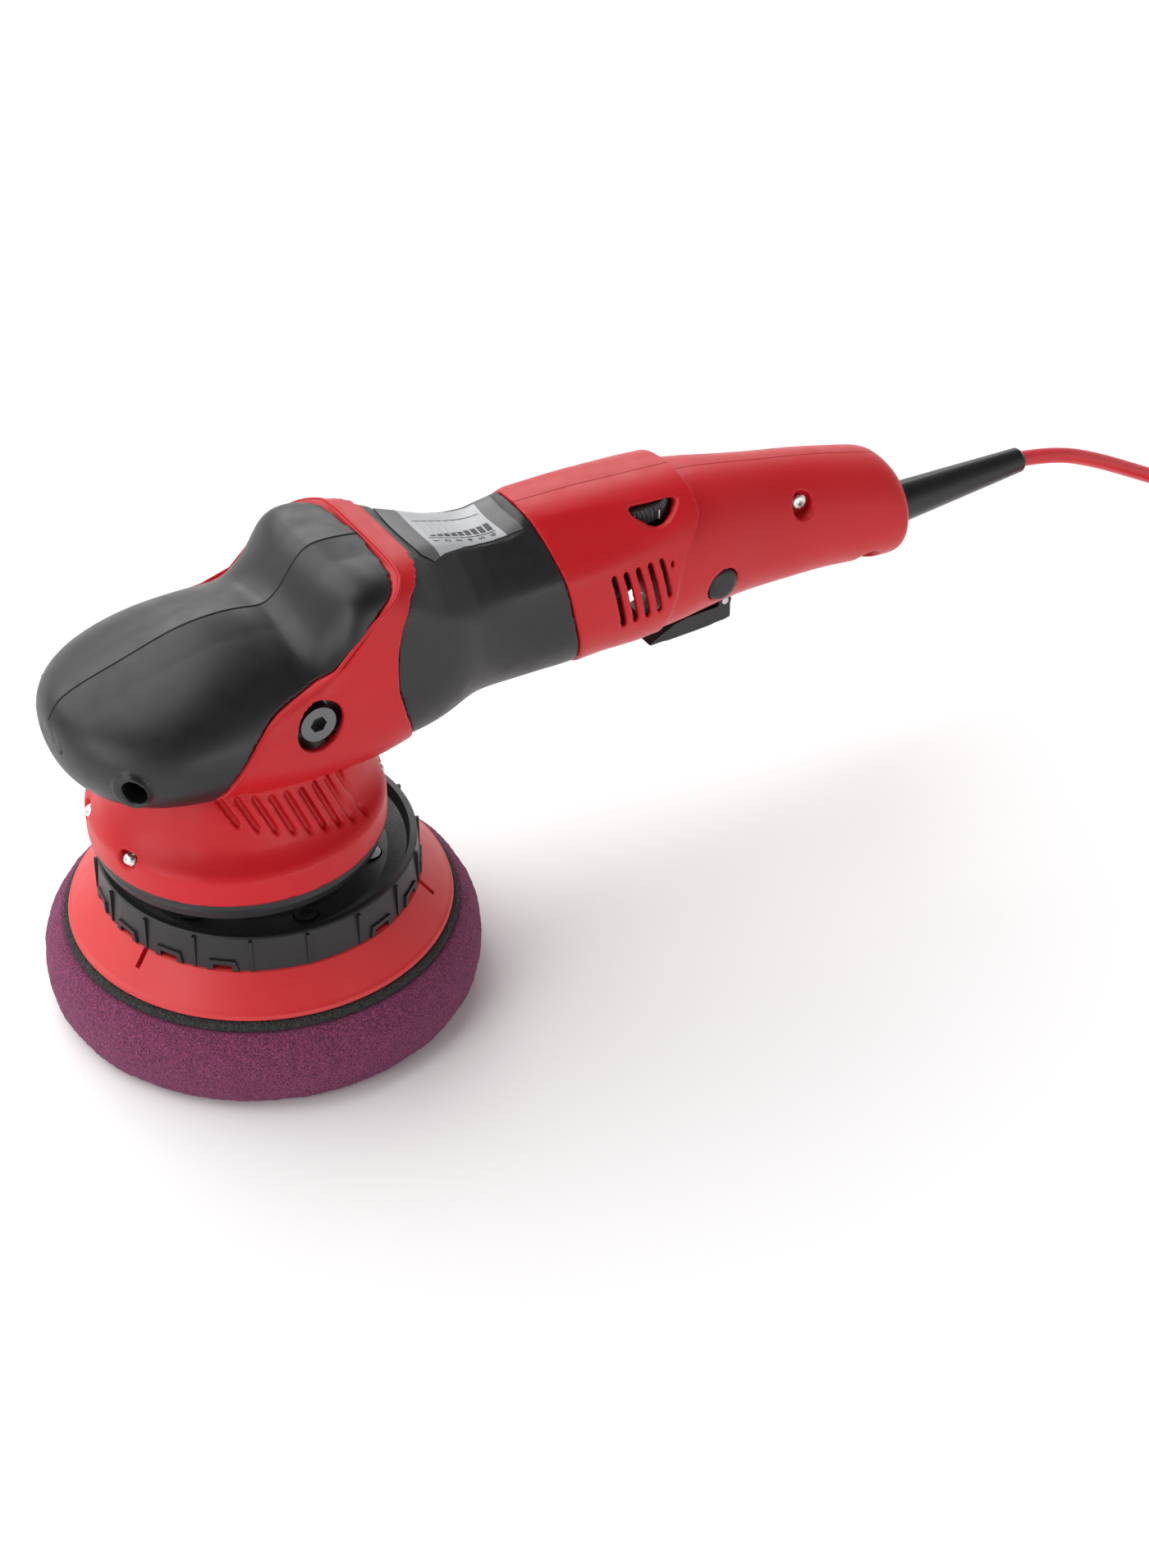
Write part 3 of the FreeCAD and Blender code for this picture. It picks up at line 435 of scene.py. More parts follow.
def curve_through(points, count):
    """A natural cubic spline through points of any length, by chord length."""
    points = np.array(points, float)
    chords = np.linalg.norm(np.diff(points[:, :3], axis=0), axis=1)
    knots = np.concatenate([[0], np.cumsum(np.maximum(chords, 1e-6))])
    size = len(points)
    gaps = np.diff(knots)
    system, right = np.eye(size), np.zeros_like(points)
    for i in range(1, size - 1):
        system[i, i - 1:i + 2] = gaps[i - 1], 2 * (gaps[i - 1] + gaps[i]), gaps[i]
        slope = (points[i + 1] - points[i]) / gaps[i] - (points[i] - points[i - 1]) / gaps[i - 1]
        right[i] = 6 * slope
    bend = np.linalg.solve(system, right)
    found = []
    for t in np.linspace(0, knots[-1], count):
        i = min(int(np.searchsorted(knots, t, side="right")) - 1, size - 2)
        a, b, h = knots[i + 1] - t, t - knots[i], gaps[i]
        found.append((bend[i] * a ** 3 + bend[i + 1] * b ** 3) / (6 * h)
                     + (points[i] / h - bend[i] * h / 6) * a
                     + (points[i + 1] / h - bend[i + 1] * h / 6) * b)
    return np.array(found)


def slab(name, outline, high=80.0, low=-80.0):
    """A prism across the tool from an outline of x, z points."""
    return skin(name, [[(x, y, z) for x, z in outline] for y in (low, high)], None)


def tube_along(name, points, radius, material, around):
    """A round tube along points, with its ends closed."""
    points = [Vector(p) for p in points]
    rings = []
    side = None
    for i, p in enumerate(points):
        before = points[i - 1] if i else p
        after = points[i + 1] if i + 1 < len(points) else p
        along = (after - before).normalized()
        side = (side or along.orthogonal()) - along * (side or along.orthogonal()).dot(along)
        side.normalize()
        up = along.cross(side)
        rings.append([p + (side * c + up * s) * radius for c, s in spokes(around)])
    return skin(name, rings, material)


def turned(name, outline, material, x, steps):
    """A ring turned from an outline of radius, height about the vertical axis at x."""
    rings = [[(x + r * c, r * s, z) for r, z in outline] for c, s in spokes(steps)]
    obj = skin(name, rings, material, joined=True)
    face_outwards(obj)
    soften(obj)
    return obj


def rod(name, start, direction, length, radius, around=48):
    start, direction = Vector(start), Vector(direction).normalized()
    side = direction.orthogonal().normalized()
    up = direction.cross(side)
    rings = [[start + direction * t + (side * c + up * s) * radius for c, s in spokes(around)]
             for t in (0, length)]
    return skin(name, rings, None)


# ---- the tool's outer form ----
# x, half width, top, height of the widest point, bottom, squareness above and below
HEAD = [
    (-72.0, 3, 148.5, 144, 141.2, 2.0, 2.0),
    (-70.8, 11.5, 152, 144, 134, 2.0, 2.0),
    (-67.5, 20.8, 156.6, 143.5, 126, 2.0, 2.0),
    (-61, 31, 160.3, 143, 119, 2.0, 2.2),
    (-50, 41.2, 163.6, 142.5, 115, 2.0, 2.4),
    (-36, 47.2, 167.3, 142, 113, 2.0, 2.4),
    (-20, 49.2, 171.3, 141.5, 111, 1.95, 2.4),
    (-4, 48.2, 172.3, 141, 109, 2.0, 2.4),
    (9, 46.4, 170.6, 141, 106.5, 2.2, 2.4),
    (17, 45.1, 169.7, 141, 105, 2.5, 2.4),
    (24, 44.1, 175.2, 141, 103.5, 2.8, 2.3),
    (31, 43.3, 184.4, 141, 102.5, 3.4, 2.3),
    (36, 42.8, 187.9, 141, 102, 4.6, 2.3),
    (42, 42.4, 188.5, 141.2, 101.4, 5.6, 2.3),
    (50, 42, 187.6, 141.5, 100.8, 5.6, 2.25),
    (57, 41.8, 186.4, 141.8, 100.5, 4.7, 2.2),
    (62, 41.6, 185.6, 142, 100.4, 4.4, 2.2),
    (74, 41, 183.4, 142, 101.5, 3.6, 2.2),
]
MOTOR = [
    (50, 41.2, 187, 141.5, 101, 5.6, 2.25),
    (61, 40.8, 185.2, 142, 100.6, 4.4, 2.2),
    (71, 40.2, 183.2, 142.5, 101.9, 3.6, 2.2),
    (80, 38.6, 181, 143, 104.4, 3.1, 2.2),
    (90, 35.3, 177.8, 142, 107, 2.7, 2.2),
    (100, 33.3, 174.8, 140.5, 106.9, 2.6, 2.2),
    (110, 32.8, 173.8, 139.5, 106.2, 2.6, 2.2),
    (123, 33.4, 176.6, 139.3, 105.8, 2.6, 2.2),
    (131, 33.9, 176.5, 139.5, 105.4, 2.55, 2.2),
    (141, 34.0, 175.9, 139.6, 105.4, 2.5, 2.2),
]
COLLAR = [
    (119, 34.0, 177.4, 139.4, 105.3, 2.45, 2.25),
    (135, 34.6, 176.6, 139.6, 105, 2.45, 2.25),
    (150, 34.4, 175.8, 139.5, 105, 2.45, 2.25),
    (165, 34.2, 174.4, 138.5, 104, 2.4, 2.25),
    (180, 33.4, 173, 137.5, 103.6, 2.4, 2.2),
    (204, 32.2, 170.6, 136, 103.6, 2.4, 2.2),
]
GRIP = [
    (172, 32.6, 170.4, 137.5, 105, 2.3, 2.2),
    (186, 31.4, 168.8, 136.5, 105, 2.3, 2.2),
    (200, 29.6, 167.0, 135.4, 105.9, 2.3, 2.2),
    (220, 26.4, 162.8, 132.5, 106.1, 2.25, 2.2),
    (240, 24.8, 158, 129.6, 104.7, 2.2, 2.2),
    (260, 23.8, 153.3, 126.7, 103, 2.2, 2.2),
    (280, 23.3, 147.6, 123.2, 99.9, 2.2, 2.2),
    (289.5, 23.1, 144.6, 121.6, 98.6, 2.2, 2.2),
    (296, 22.3, 141.4, 120, 98.7, 2.2, 2.2),
    (300, 18, 134.8, 118.5, 103, 2.2, 2.2),
]
COVER_EDGE = [(-27, 122), (-26.3, 126), (-23, 132.6), (-17.5, 140), (-12, 146), (-6, 150.5),
              (-1, 152.8), (7, 154.8), (15, 156.6), (22, 158.9), (28, 161.8), (35.5, 169.3),
              (40.5, 174.8), (45.5, 178.8), (53, 182.4), (57, 184.6), (57.8, 187), (57.8, 200)]
BAND_EDGE = [(69.6, 200), (69.3, 185), (67.5, 183.4), (65, 182.2), (58.5, 178.2), (52.5, 168.6),
             (50.4, 160), (50, 150), (50.2, 141.5), (53, 130), (57, 119), (62, 106), (64, 90)]
CHEEK_EDGE = [(54, 90), (50, 104), (44, 109.4), (25, 110.4), (0, 117.5), (-27, 122)]
JOINT_EDGE = [(122.8, 200), (123.4, 177), (124.6, 173), (126.2, 167), (127.6, 159), (129.1, 150),
              (130.8, 139.5), (133, 130), (135.3, 120), (137.5, 110), (139, 90)]
COLLAR_END = [(193.5, 200), (193.5, 185), (194, 168), (192.5, 162), (187.5, 156), (182.2, 150),
              (178.6, 140), (176.4, 128), (175, 118), (174.5, 90)]
# the motor housing's and the collar's flat upper facets: x, then y, z of both edges, upper first
FACETS = np.array([
    (50, 30, 192, 48, 174), (66, 27, 183.5, 41, 168.5), (74, 21, 179.8, 38.5, 165.2),
    (80, 19.5, 177.6, 35.8, 163.6), (90, 16, 175.2, 32.5, 160.3), (100, 13.3, 174, 31, 158.6),
    (110, 13, 173, 31, 157.2), (123, 14.5, 173.2, 31.8, 157.6), (128, 16.5, 173.4, 32, 157.6),
    (176, 16.5, 173.4, 32, 157.6), (184, 18, 172.5, 33.5, 158), (200, 24, 180, 45, 165)])


def section(station, around=144, grow=0.0, crease=0.0, faceted=False):
    """A ring of points round the form at a station, moved out by grow."""
    x, half, top, middle, bottom, upper, lower = station
    y0, z0, y1, z1 = (np.interp(x, FACETS[:, 0], FACETS[:, k]) for k in range(1, 5))
    ring = []
    for k in range(around):
        a = 2 * math.pi * k / around
        across, rise = math.cos(a), math.sin(a)
        power = upper if rise >= 0 else lower
        reach = top - middle if rise >= 0 else middle - bottom
        y = math.copysign(abs(across) ** (2 / power), across) * (half + grow)
        lift = math.copysign(abs(rise) ** (2 / power), rise) * (reach + grow)
        outward = abs(y) * (z0 - z1) + lift * (y1 - y0)
        if faceted and rise > 0 and outward > 0:
            offset = grow * math.hypot(z0 - z1, y1 - y0)
            plane = (y0 * (z0 - z1) + (z0 - middle) * (y1 - y0) + offset) / outward
            blend = max(0.05 - abs(1 - plane), 0) / 0.05
            share = min(1, plane) - blend * blend * 0.05 / 4
            y, lift = y * share, lift * share
        if rise > 0:
            lift -= crease * min(abs(y), 14) * min(1, half / 40)
        ring.append((x, y, middle + lift))
    return ring


def station_at(rows, x):
    return [float(np.interp(x, rows[:, 0], rows[:, k])) for k in range(7)]


def near_side(rows, x, z):
    """The y of the form's near side at x and z."""
    _, half, top, middle, bottom, upper, lower = station_at(rows, x)
    reach, power = (top - middle, upper) if z >= middle else (middle - bottom, lower)
    rise = min(1.0, abs(z - middle) / reach)
    return -half * (1 - rise ** power) ** (1 / power)


def roomy(rows, wall):
    """The rows of a form that are wide enough to be hollowed."""
    return [row for row in rows if row[1] > wall + 6]


# ---- cord ----
ROUTE = [(371.6, 0, 114), (389, 0, 111), (412, 0, 101), (446, 0, 81), (481, -1, 61),
         (517, -5, 42), (546, -17, 26), (561, -38, 11.5), (559.2, -62, 3.4)]
TAIL_ROUTE = [(550.4, -48.6, 29.7), (552.6, -76.1, 31.5), (532.7, -96, 35), (504.5, -96, 38.5),
              (484.6, -79, 42.2), (484.6, -60, 42.2)]
CORD_R = 3.3
COIL = (510.0, -62.0)           # the coil's middle, x and y
COLUMNS = (49.2, 42.6, 36.0)    # radii of the columns of turns
LAYERS = 5
LAYER_TURNS = 2.85              # turns in a layer, the last one cut short to climb
STEP = 0.15                     # share of a turn spent moving to the next column
TURNS = 12.949
PER_TURN = 16


def coil_points():
    """Turns wound inwards and outwards by layers, each moving over in a short stretch."""
    stops, start = [], 0.0
    for layer in range(LAYERS):
        for step in range(3):
            column = COLUMNS[step if layer % 2 == 0 else 2 - step]
            stop = start + (step + 1 if step < 2 else LAYER_TURNS)
            stops.append((stop, column, 3.4 + 6.6 * layer))
        start += LAYER_TURNS
    points = []
    for k in range(1, int((TURNS - 0.05) * PER_TURN) + 1):
        turn = k / PER_TURN
        i = next(n for n, stop in enumerate(stops) if turn <= stop[0])
        share = min(1.0, max(0.0, (turn - stops[i][0] + STEP) / STEP))
        share = share * share * (3 - 2 * share)
        here, there = np.array(stops[i][1:]), np.array(stops[min(i + 1, len(stops) - 1)][1:])
        r, z = here + (there - here) * share
        r /= math.cos(math.pi / PER_TURN)
        a = -2 * math.pi * turn
        points.append((COIL[0] + r * math.cos(a), COIL[1] + r * math.sin(a), z))
    return points


def make_cord():
    points = ROUTE + coil_points() + TAIL_ROUTE
    curve = bpy.data.curves.new("mains_cord", "CURVE")
    curve.dimensions = "3D"
    spline = curve.splines.new("NURBS")
    spline.points.add(len(points) - 1)
    for point, place in zip(spline.points, points):
        point.co = (*(Vector(place) * MM), 1)
    spline.order_u = 3
    spline.use_endpoint_u = True
    spline.resolution_u = 6
    curve.bevel_depth = CORD_R * MM
    curve.bevel_resolution = 5
    curve.use_fill_caps = True
    curve.materials.append(MATERIALS["cord_red"])
    cord = link("mains_cord", curve)
    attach(cord, "housing")
    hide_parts("cord_tube", "cord_coil", "cord_tail")


def place(obj, body, material, *nodes):
    """Fixes a piece to its body and hides the nodes that it stands for; material is not used."""
    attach(obj, body)
    if nodes:
        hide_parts(*nodes)


# ---- pad ----
def lumpy(obj, parts, keep):
    """Moves each point along its normal by noise: parts of size, depth, scaled by keep(point)."""
    mesh = obj.data
    moved = []
    for vertex in mesh.vertices:
        p, n = vertex.co / MM, vertex.normal
        shift = sum(noise.noise(p / size + Vector((7, 3, 5)) * k) * depth
                    for k, (size, depth) in enumerate(parts))
        moved.append(vertex.co + n * shift * MM * keep(p))
    for vertex, p in zip(mesh.vertices, moved):
        vertex.co = p
    mesh.update()


PAD_X = 7.5                     # the pad's axis is offset from the spindle's by this throw


def make_pad():
    side = curve_through([(79, 0), (82.6, 2.2), (84.6, 6.5), (85.5, 14), (85, 20), (83.2, 25.4),
                          (80.6, 29.4), (78.2, 31.4)], 56)
    outline = [(r, 0) for r in (0.5, 15, 30, 45, 60, 68, 74, 77.5)] + [tuple(p) for p in side]
    outline += [(r, 31.45) for r in (76.5, 70, 55, 35, 15, 0.5)]
    pad = turned("buffing_pad", outline, "foam", PAD_X, 960)
    lumpy(pad, [(11, 0.5), (3.0, 0.22), (1.3, 0.22)],
          lambda p: min(1.0, max(0.0, p.z / 2)) * min(1.0, max(0.0, (31.2 - p.z) / 2)))
    place(pad, "pad", "foam", "foam_pad")

    outline = [(0.5, 31.5), (76.3, 31.5), (77, 31.9), (77.1, 32.7), (76.9, 33.5), (76.4, 34.2),
               (75.6, 34.7), (74.6, 34.8), (0.5, 34.8)]
    felt = turned("hook_face", outline, "hook_layer", PAD_X, 900)
    lumpy(felt, [(1.6, 0.35), (0.7, 0.25)],
          lambda p: 1.0 if 32 < p.z < 34.6 and math.hypot(p.x - PAD_X, p.y) > 74 else 0.0)
    place(felt, "pad", "hook_layer", "interface_layer")


# ---- head ----
def edge_bead(edge, rows, radius, material):
    """A raised line that follows an edge round the form, from side to side over the top."""
    heights, places = [z for _, z in edge], [x for x, _ in edge]
    near = []
    for k in range(150):
        a = math.radians(-28 + 118 * k / 149)
        x = 20.0
        for _ in range(8):
            _, half, top, middle, bottom, upper, lower = station_at(rows, x)
            power, reach = (upper, top - middle) if a >= 0 else (lower, middle - bottom)
            z = middle + math.copysign(abs(math.sin(a)) ** (2 / power), a) * (reach + 0.1)
            x = x * 0.3 + float(np.interp(z, heights, places)) * 0.7
        y = -abs(math.cos(a)) ** (2 / power) * (half + 0.1)
        if z > heights[0] + 0.5:
            near.append((x, y, z))
    far = [(x, -y, z) for x, y, z in reversed(near[:-1])]
    return tube_along("bead", near + far, radius, material, around=12)


BOLT = (15.2, 141.8)            # x and z of the side bolts
RIM_ANGLES = (-162, -18, 162, 18)


def make_head():
    rows = curve_through(HEAD, 170)
    cover = skin("top_cover", [section(row, crease=0.09) for row in rows], "soft_black")
    face_outwards(cover)
    combine(cover, [skin("inner", [section(row, grow=-3.4) for row in roomy(rows, 3.4)], None)],
            "DIFFERENCE")
    sockets, holes = [], []
    for s in (-1, 1):
        inwards = (0.78, -s * 0.62, 0.06)
        sockets.append(rod("socket", (-58, s * 36.5, 135.6), inwards, 20, 7.2))
        holes.append(rod("hole", (-63.6, s * 43.1, 135.3), inwards, 23, 5.0))
    combine(cover, sockets, "UNION")
    combine(cover, holes, "DIFFERENCE")
    region = [(-90, 122), *COVER_EDGE, (-90, 200)]
    combine(cover, [slab("region", [(x - 0.25, z + 0.25) for x, z in region])], "INTERSECT")
    remesh(cover, 0.72, 3)
    ridge = [(row[0], 0, row[2] + 0.05) for row in rows if -71.5 < row[0] < 57]
    line = tube_along("crease", ridge, 0.28, "soft_black", around=8)
    cover = join("top_cover", [cover, line])
    soften(cover, REMESHED_EDGE)
    place(cover, "housing", "soft_black", "head_cover")

    squared = [(*row[:6], np.interp(row[0], (-15, -4, 12, 40, 60), (2.4, 2.8, 3.2, 3.0, 2.3)))
               for row in rows]
    cheeks = skin("gearbox_shell", [section(row, grow=0.15) for row in squared], "red_plastic")
    face_outwards(cheeks)
    combine(cheeks, [slab("region", COVER_EDGE + BAND_EDGE + CHEEK_EDGE)], "INTERSECT")
    combine(cheeks, [dome_surface(DOME, 121.7)], "UNION")
    wall = [(r - 3.0 if z < 91 else r - 5.2, z) for r, z in DOME]
    room = dome_surface([(54, 70)] + wall[1:], 118.6)
    posts = []
    for a in RIM_ANGLES:
        x, y = math.cos(math.radians(a)), math.sin(math.radians(a))
        posts.append(rod("post", (53 * x, 53 * y, 60), (0, 0, 1), 38, 5.2))
    combine(room, posts, "DIFFERENCE")
    inner = skin("inner", [section(row, grow=-3) for row in roomy(squared, 3)], None)
    combine(cheeks, [room, inner] + dome_cutters(), "DIFFERENCE")
    remesh(cheeks, 0.74, 4)
    bead = edge_bead([(x + 0.9, z - 0.5) for x, z in COVER_EDGE], rows, 0.75, "red_plastic")
    shell = join("gearbox_shell", [cheeks, bead])
    soften(shell, REMESHED_EDGE)
    place(shell, "housing", "red_plastic", "gear_housing")


# radius and height of the skirt under the cheeks, and how far it is drawn in at the sides
DOME = [(57.2, 79), (57.2, 90), (56.6, 92), (55.6, 94.5), (54.3, 97.5), (52.8, 101),
        (51.6, 104), (50.4, 109), (49.6, 114), (49, 119), (49, 121.7)]
DRAWN = ((90, 0), (92, 1.0), (94, 3.0), (96, 4.2), (98, 4.9), (100, 4.9), (104, 4.6),
         (109, 5.0), (114, 6.2), (118, 7.8), (122, 9.5))


def drawn_in(angle, z):
    """How far the skirt is drawn in at an angle and a height."""
    off = min(abs((angle - c + 180) % 360 - 180) for c in (95, 265))
    share = min(1.0, max(0.0, (85 - off) / 45))
    depth = np.interp(z, [d[0] for d in DRAWN], [d[1] for d in DRAWN])
    return share * share * (3 - 2 * share) * depth


def dome_surface(outline, top):
    """The skirt as a solid, up to the height top."""
    heights = np.array([z for _, z in outline], float)
    radii = np.array([r for r, _ in outline], float)
    levels = [heights[0]] + [z for z in np.arange(79, top, 1.0) if z > heights[0]] + [top]
    rings = []
    for inset, z in [(True, levels[0])] + [(False, z) for z in levels] + [(True, levels[-1])]:
        ring = []
        for k in range(200):
            a = 360 * k / 200
            r = 0.3 if inset else np.interp(z, heights, radii) - drawn_in(a, z)
            ring.append((r * math.cos(math.radians(a)), r * math.sin(math.radians(a)), z))
        rings.append(ring)
    return skin("dome", rings, None)


def dome_cutters():
    """The skirt's cuts: side bores, fanned slots, and a pocket and scoop at each screw."""
    cutters = []
    for s in (-1, 1):
        cutters.append(rod("bore", (BOLT[0], s * 60, BOLT[1]), (0, -s, 0), 24, 10.2))
        for k in range(9):
            share = k / 8
            top = Vector((-23 + 48 * share, s * 60, 117.4 - 5 * share))
            low = Vector((-19 + 51.6 * share, s * 60, 108 - 20.7 * share + 6.2 * share ** 2))
            cutters.append(slot_cutter(top, low, s, share))
        for a in (-162, -18) if s < 0 else (162, 18):
            x, y = math.cos(math.radians(a)), math.sin(math.radians(a))
            cutters.append(rod("pocket", (54.8 * x, 54.8 * y, 88), (0, 0, 1), 4.6, 4.4))
            turn = math.radians(a + (28 if a * s < 0 else -28))
            out = Vector((math.cos(turn), math.sin(turn), 0.08))
            cutters.append(rod("scoop", (54.6 * x, 54.6 * y, 89.5), out, 14, 3.6))
    return cutters


def slot_cutter(top, low, side, share):
    """A round-ended slot in the skirt; the rear ones are deeper."""
    along = (low - top).normalized()
    across = along.cross(Vector((0, side, 0))).normalized()
    outline = []
    for k in range(24):
        a = math.pi * (k / 11 if k < 12 else 1 + (k - 12) / 11)
        centre = top if k < 12 else low
        outline.append(centre + across * math.cos(a) * 1.2 - along * math.sin(a) * 1.2)
    rings = [[(p.x, side * 60, p.z) for p in outline], []]
    for p in outline:
        angle = math.degrees(math.atan2(side * 42, p.x))
        r = np.interp(p.z, [z for _, z in DOME], [r for r, _ in DOME]) - drawn_in(angle, p.z)
        surface = math.sqrt(max(0.0, r * r - p.x ** 2))
        rings[1].append((p.x, side * (surface - (2.2 if share < 0.55 else 3.4)), p.z))
    return skin("slot", rings, None)


# ---- motor housing and its label ----
MOTOR_Z = 140.0                 # height of the motor's axis


def spun_x(name, outline, material, steps=96):
    """A ring turned about the motor's axis from an outline of x, radius."""
    rings = [[(x, r * c, MOTOR_Z + r * s) for x, r in outline] for c, s in spokes(steps)]
    obj = skin(name, rings, material, joined=True)
    face_outwards(obj)
    return obj


def make_motor_housing():
    rows = curve_through(MOTOR, 150)
    shell = skin("motor_shell", [section(row, faceted=True) for row in rows], "black_plastic")
    face_outwards(shell)
    inner = skin("inner", [section(row, grow=-3, faceted=True) for row in rows], None)
    for vertex in inner.data.vertices:
        if not 50.5 * MM < vertex.co.x < 140.5 * MM:
            vertex.co.x += math.copysign(4 * MM, vertex.co.x - 90 * MM)
    behind = [(x + 0.2, z) for x, z in BAND_EDGE]
    behind += [(x - 0.15, z) for x, z in reversed(JOINT_EDGE)]
    combine(shell, [slab("region", behind)], "INTERSECT")
    combine(shell, [inner], "DIFFERENCE")
    panel = label_slab("recess", 0.55, 1.3, 6)
    combine(shell, [panel], "DIFFERENCE")
    remesh(shell, 0.72, 3)
    core = spun_x("core", [(76, 29.5), (127, 29.5), (129, 29.5), (155, 21.8), (169.5, 17.5),
                           (169.5, 11), (157.8, 11), (157.8, 9), (153, 9), (151, 19.4),
                           (127, 28.1), (76, 28.1)], "black_plastic")
    whole = join("motor_shell", [shell, core])
    soften(whole, REMESHED_EDGE)
    place(whole, "housing", "black_plastic", "motor_housing")


# half width of the label along the tool
LABEL_SIDE = [(71.6, 18.0), (74, 19.2), (76.6, 20.2), (78.5, 19.2), (82, 17.0), (87, 15.2),
              (93, 13.4), (100, 12.4), (108, 12.2), (119.0, 13.2)]


def label_slab(name, depth, margin, height, x0=71.6, x1=119.0, material=None):
    """A slab over the label's outline, from depth below the form's surface to height above it."""
    rows = curve_through(MOTOR, 150)
    xs = np.linspace(x0 - (margin if x0 < 72 else 0), x1 + (margin if x1 > 118 else 0), 60)
    across = np.linspace(-1, 1, 25)
    top, low = [], []
    for x in xs:
        half = np.interp(x, [p[0] for p in LABEL_SIDE], [p[1] for p in LABEL_SIDE]) + margin
        lean = x + 1.6
        for v in across:
            bow = lean - 1.6 * (1 - v * v) if margin == 0 else x
            z = crown_cached(rows, bow, half * v)
            top.append((bow, half * v, z + height))
            low.append((bow, half * v, z - depth))
    return build(name, top + low, sheet_faces(len(xs), len(across)), material, SHEET_EDGE)


CROWNS = {}


def crown_cached(rows, x, y):
    """Height of the motor housing's upper side at x, y; each section is worked out once."""
    key = round(x * 4)
    if key not in CROWNS:
        station = station_at(rows, x)
        ring = sorted((p for p in section(station, 288, faceted=True) if p[2] > station[3]),
                      key=lambda p: p[1])
        CROWNS[key] = ([p[1] for p in ring], [p[2] for p in ring])
    return float(np.interp(y, *CROWNS[key]))


# ---- handle ----
SCREWS = [(245, 145), (281, 105.5), (171, 108.5)]   # x and z
BUTTON = (202.2, 127.3)         # x and z of the lock button's axis
DIAL = (172.0, -4.0)            # x and y of the dial's axis
# the dial's pocket and its opening: x, then distance down the flat facet from its upper edge
POCKET = [(161.5, 2.2), (162.6, 5.5), (164.8, 10), (167.5, 13.6), (172.7, 15.2), (178, 13.8),
          (182.4, 10), (186.2, 6), (188.6, 2.2)]
APERTURE = [(165, 2.8), (166.2, 5.5), (168.2, 8.4), (170.4, 11), (173.6, 12.2), (177, 11.2),
            (180.8, 8.8), (184, 5.8), (186.6, 2.8)]
FACET_TOP = Vector((0, -16.5, 173.4))
FACET_DOWN = Vector((0, -0.700, -0.714))
FACET_OUT = Vector((0, -0.714, 0.700))


def along_line(outline, count):
    """Points at even spacing along a closed outline."""
    outline = [Vector(p) for p in outline]
    ends = outline[1:] + outline[:1]
    lengths = [(b - a).length for a, b in zip(outline, ends)]
    found, total = [], sum(lengths)
    for k in range(count):
        run = total * k / count
        i = 0
        while run > lengths[i]:
            run -= lengths[i]
            i += 1
        found.append(outline[i].lerp(ends[i], run / lengths[i]))
    return found


def facet_loft(name, layers):
    """A solid through outlines drawn on the facet, each at its own height above it."""
    rings = []
    for outline, height in layers:
        rings.append([FACET_TOP + X * p.x + FACET_DOWN * (p.y + (p.x - 165) * 0.09)
                      + FACET_OUT * height
                      for p in along_line(outline, 96)])
    return skin(name, rings, None)


def handle_skin(rows_collar, rows_grip, grow, ends):
    """The collar and the grip as one closed solid."""
    collar = skin("collar", [section(row, grow=grow, faceted=True) for row in rows_collar], None)
    face_outwards(collar)
    if ends:
        combine(collar, [slab("region", COLLAR_END + list(reversed(JOINT_EDGE)))], "INTERSECT")
    grip = skin("grip", [section(row, grow=grow) for row in rows_grip], None)
    return combine(grip, [collar], "UNION")


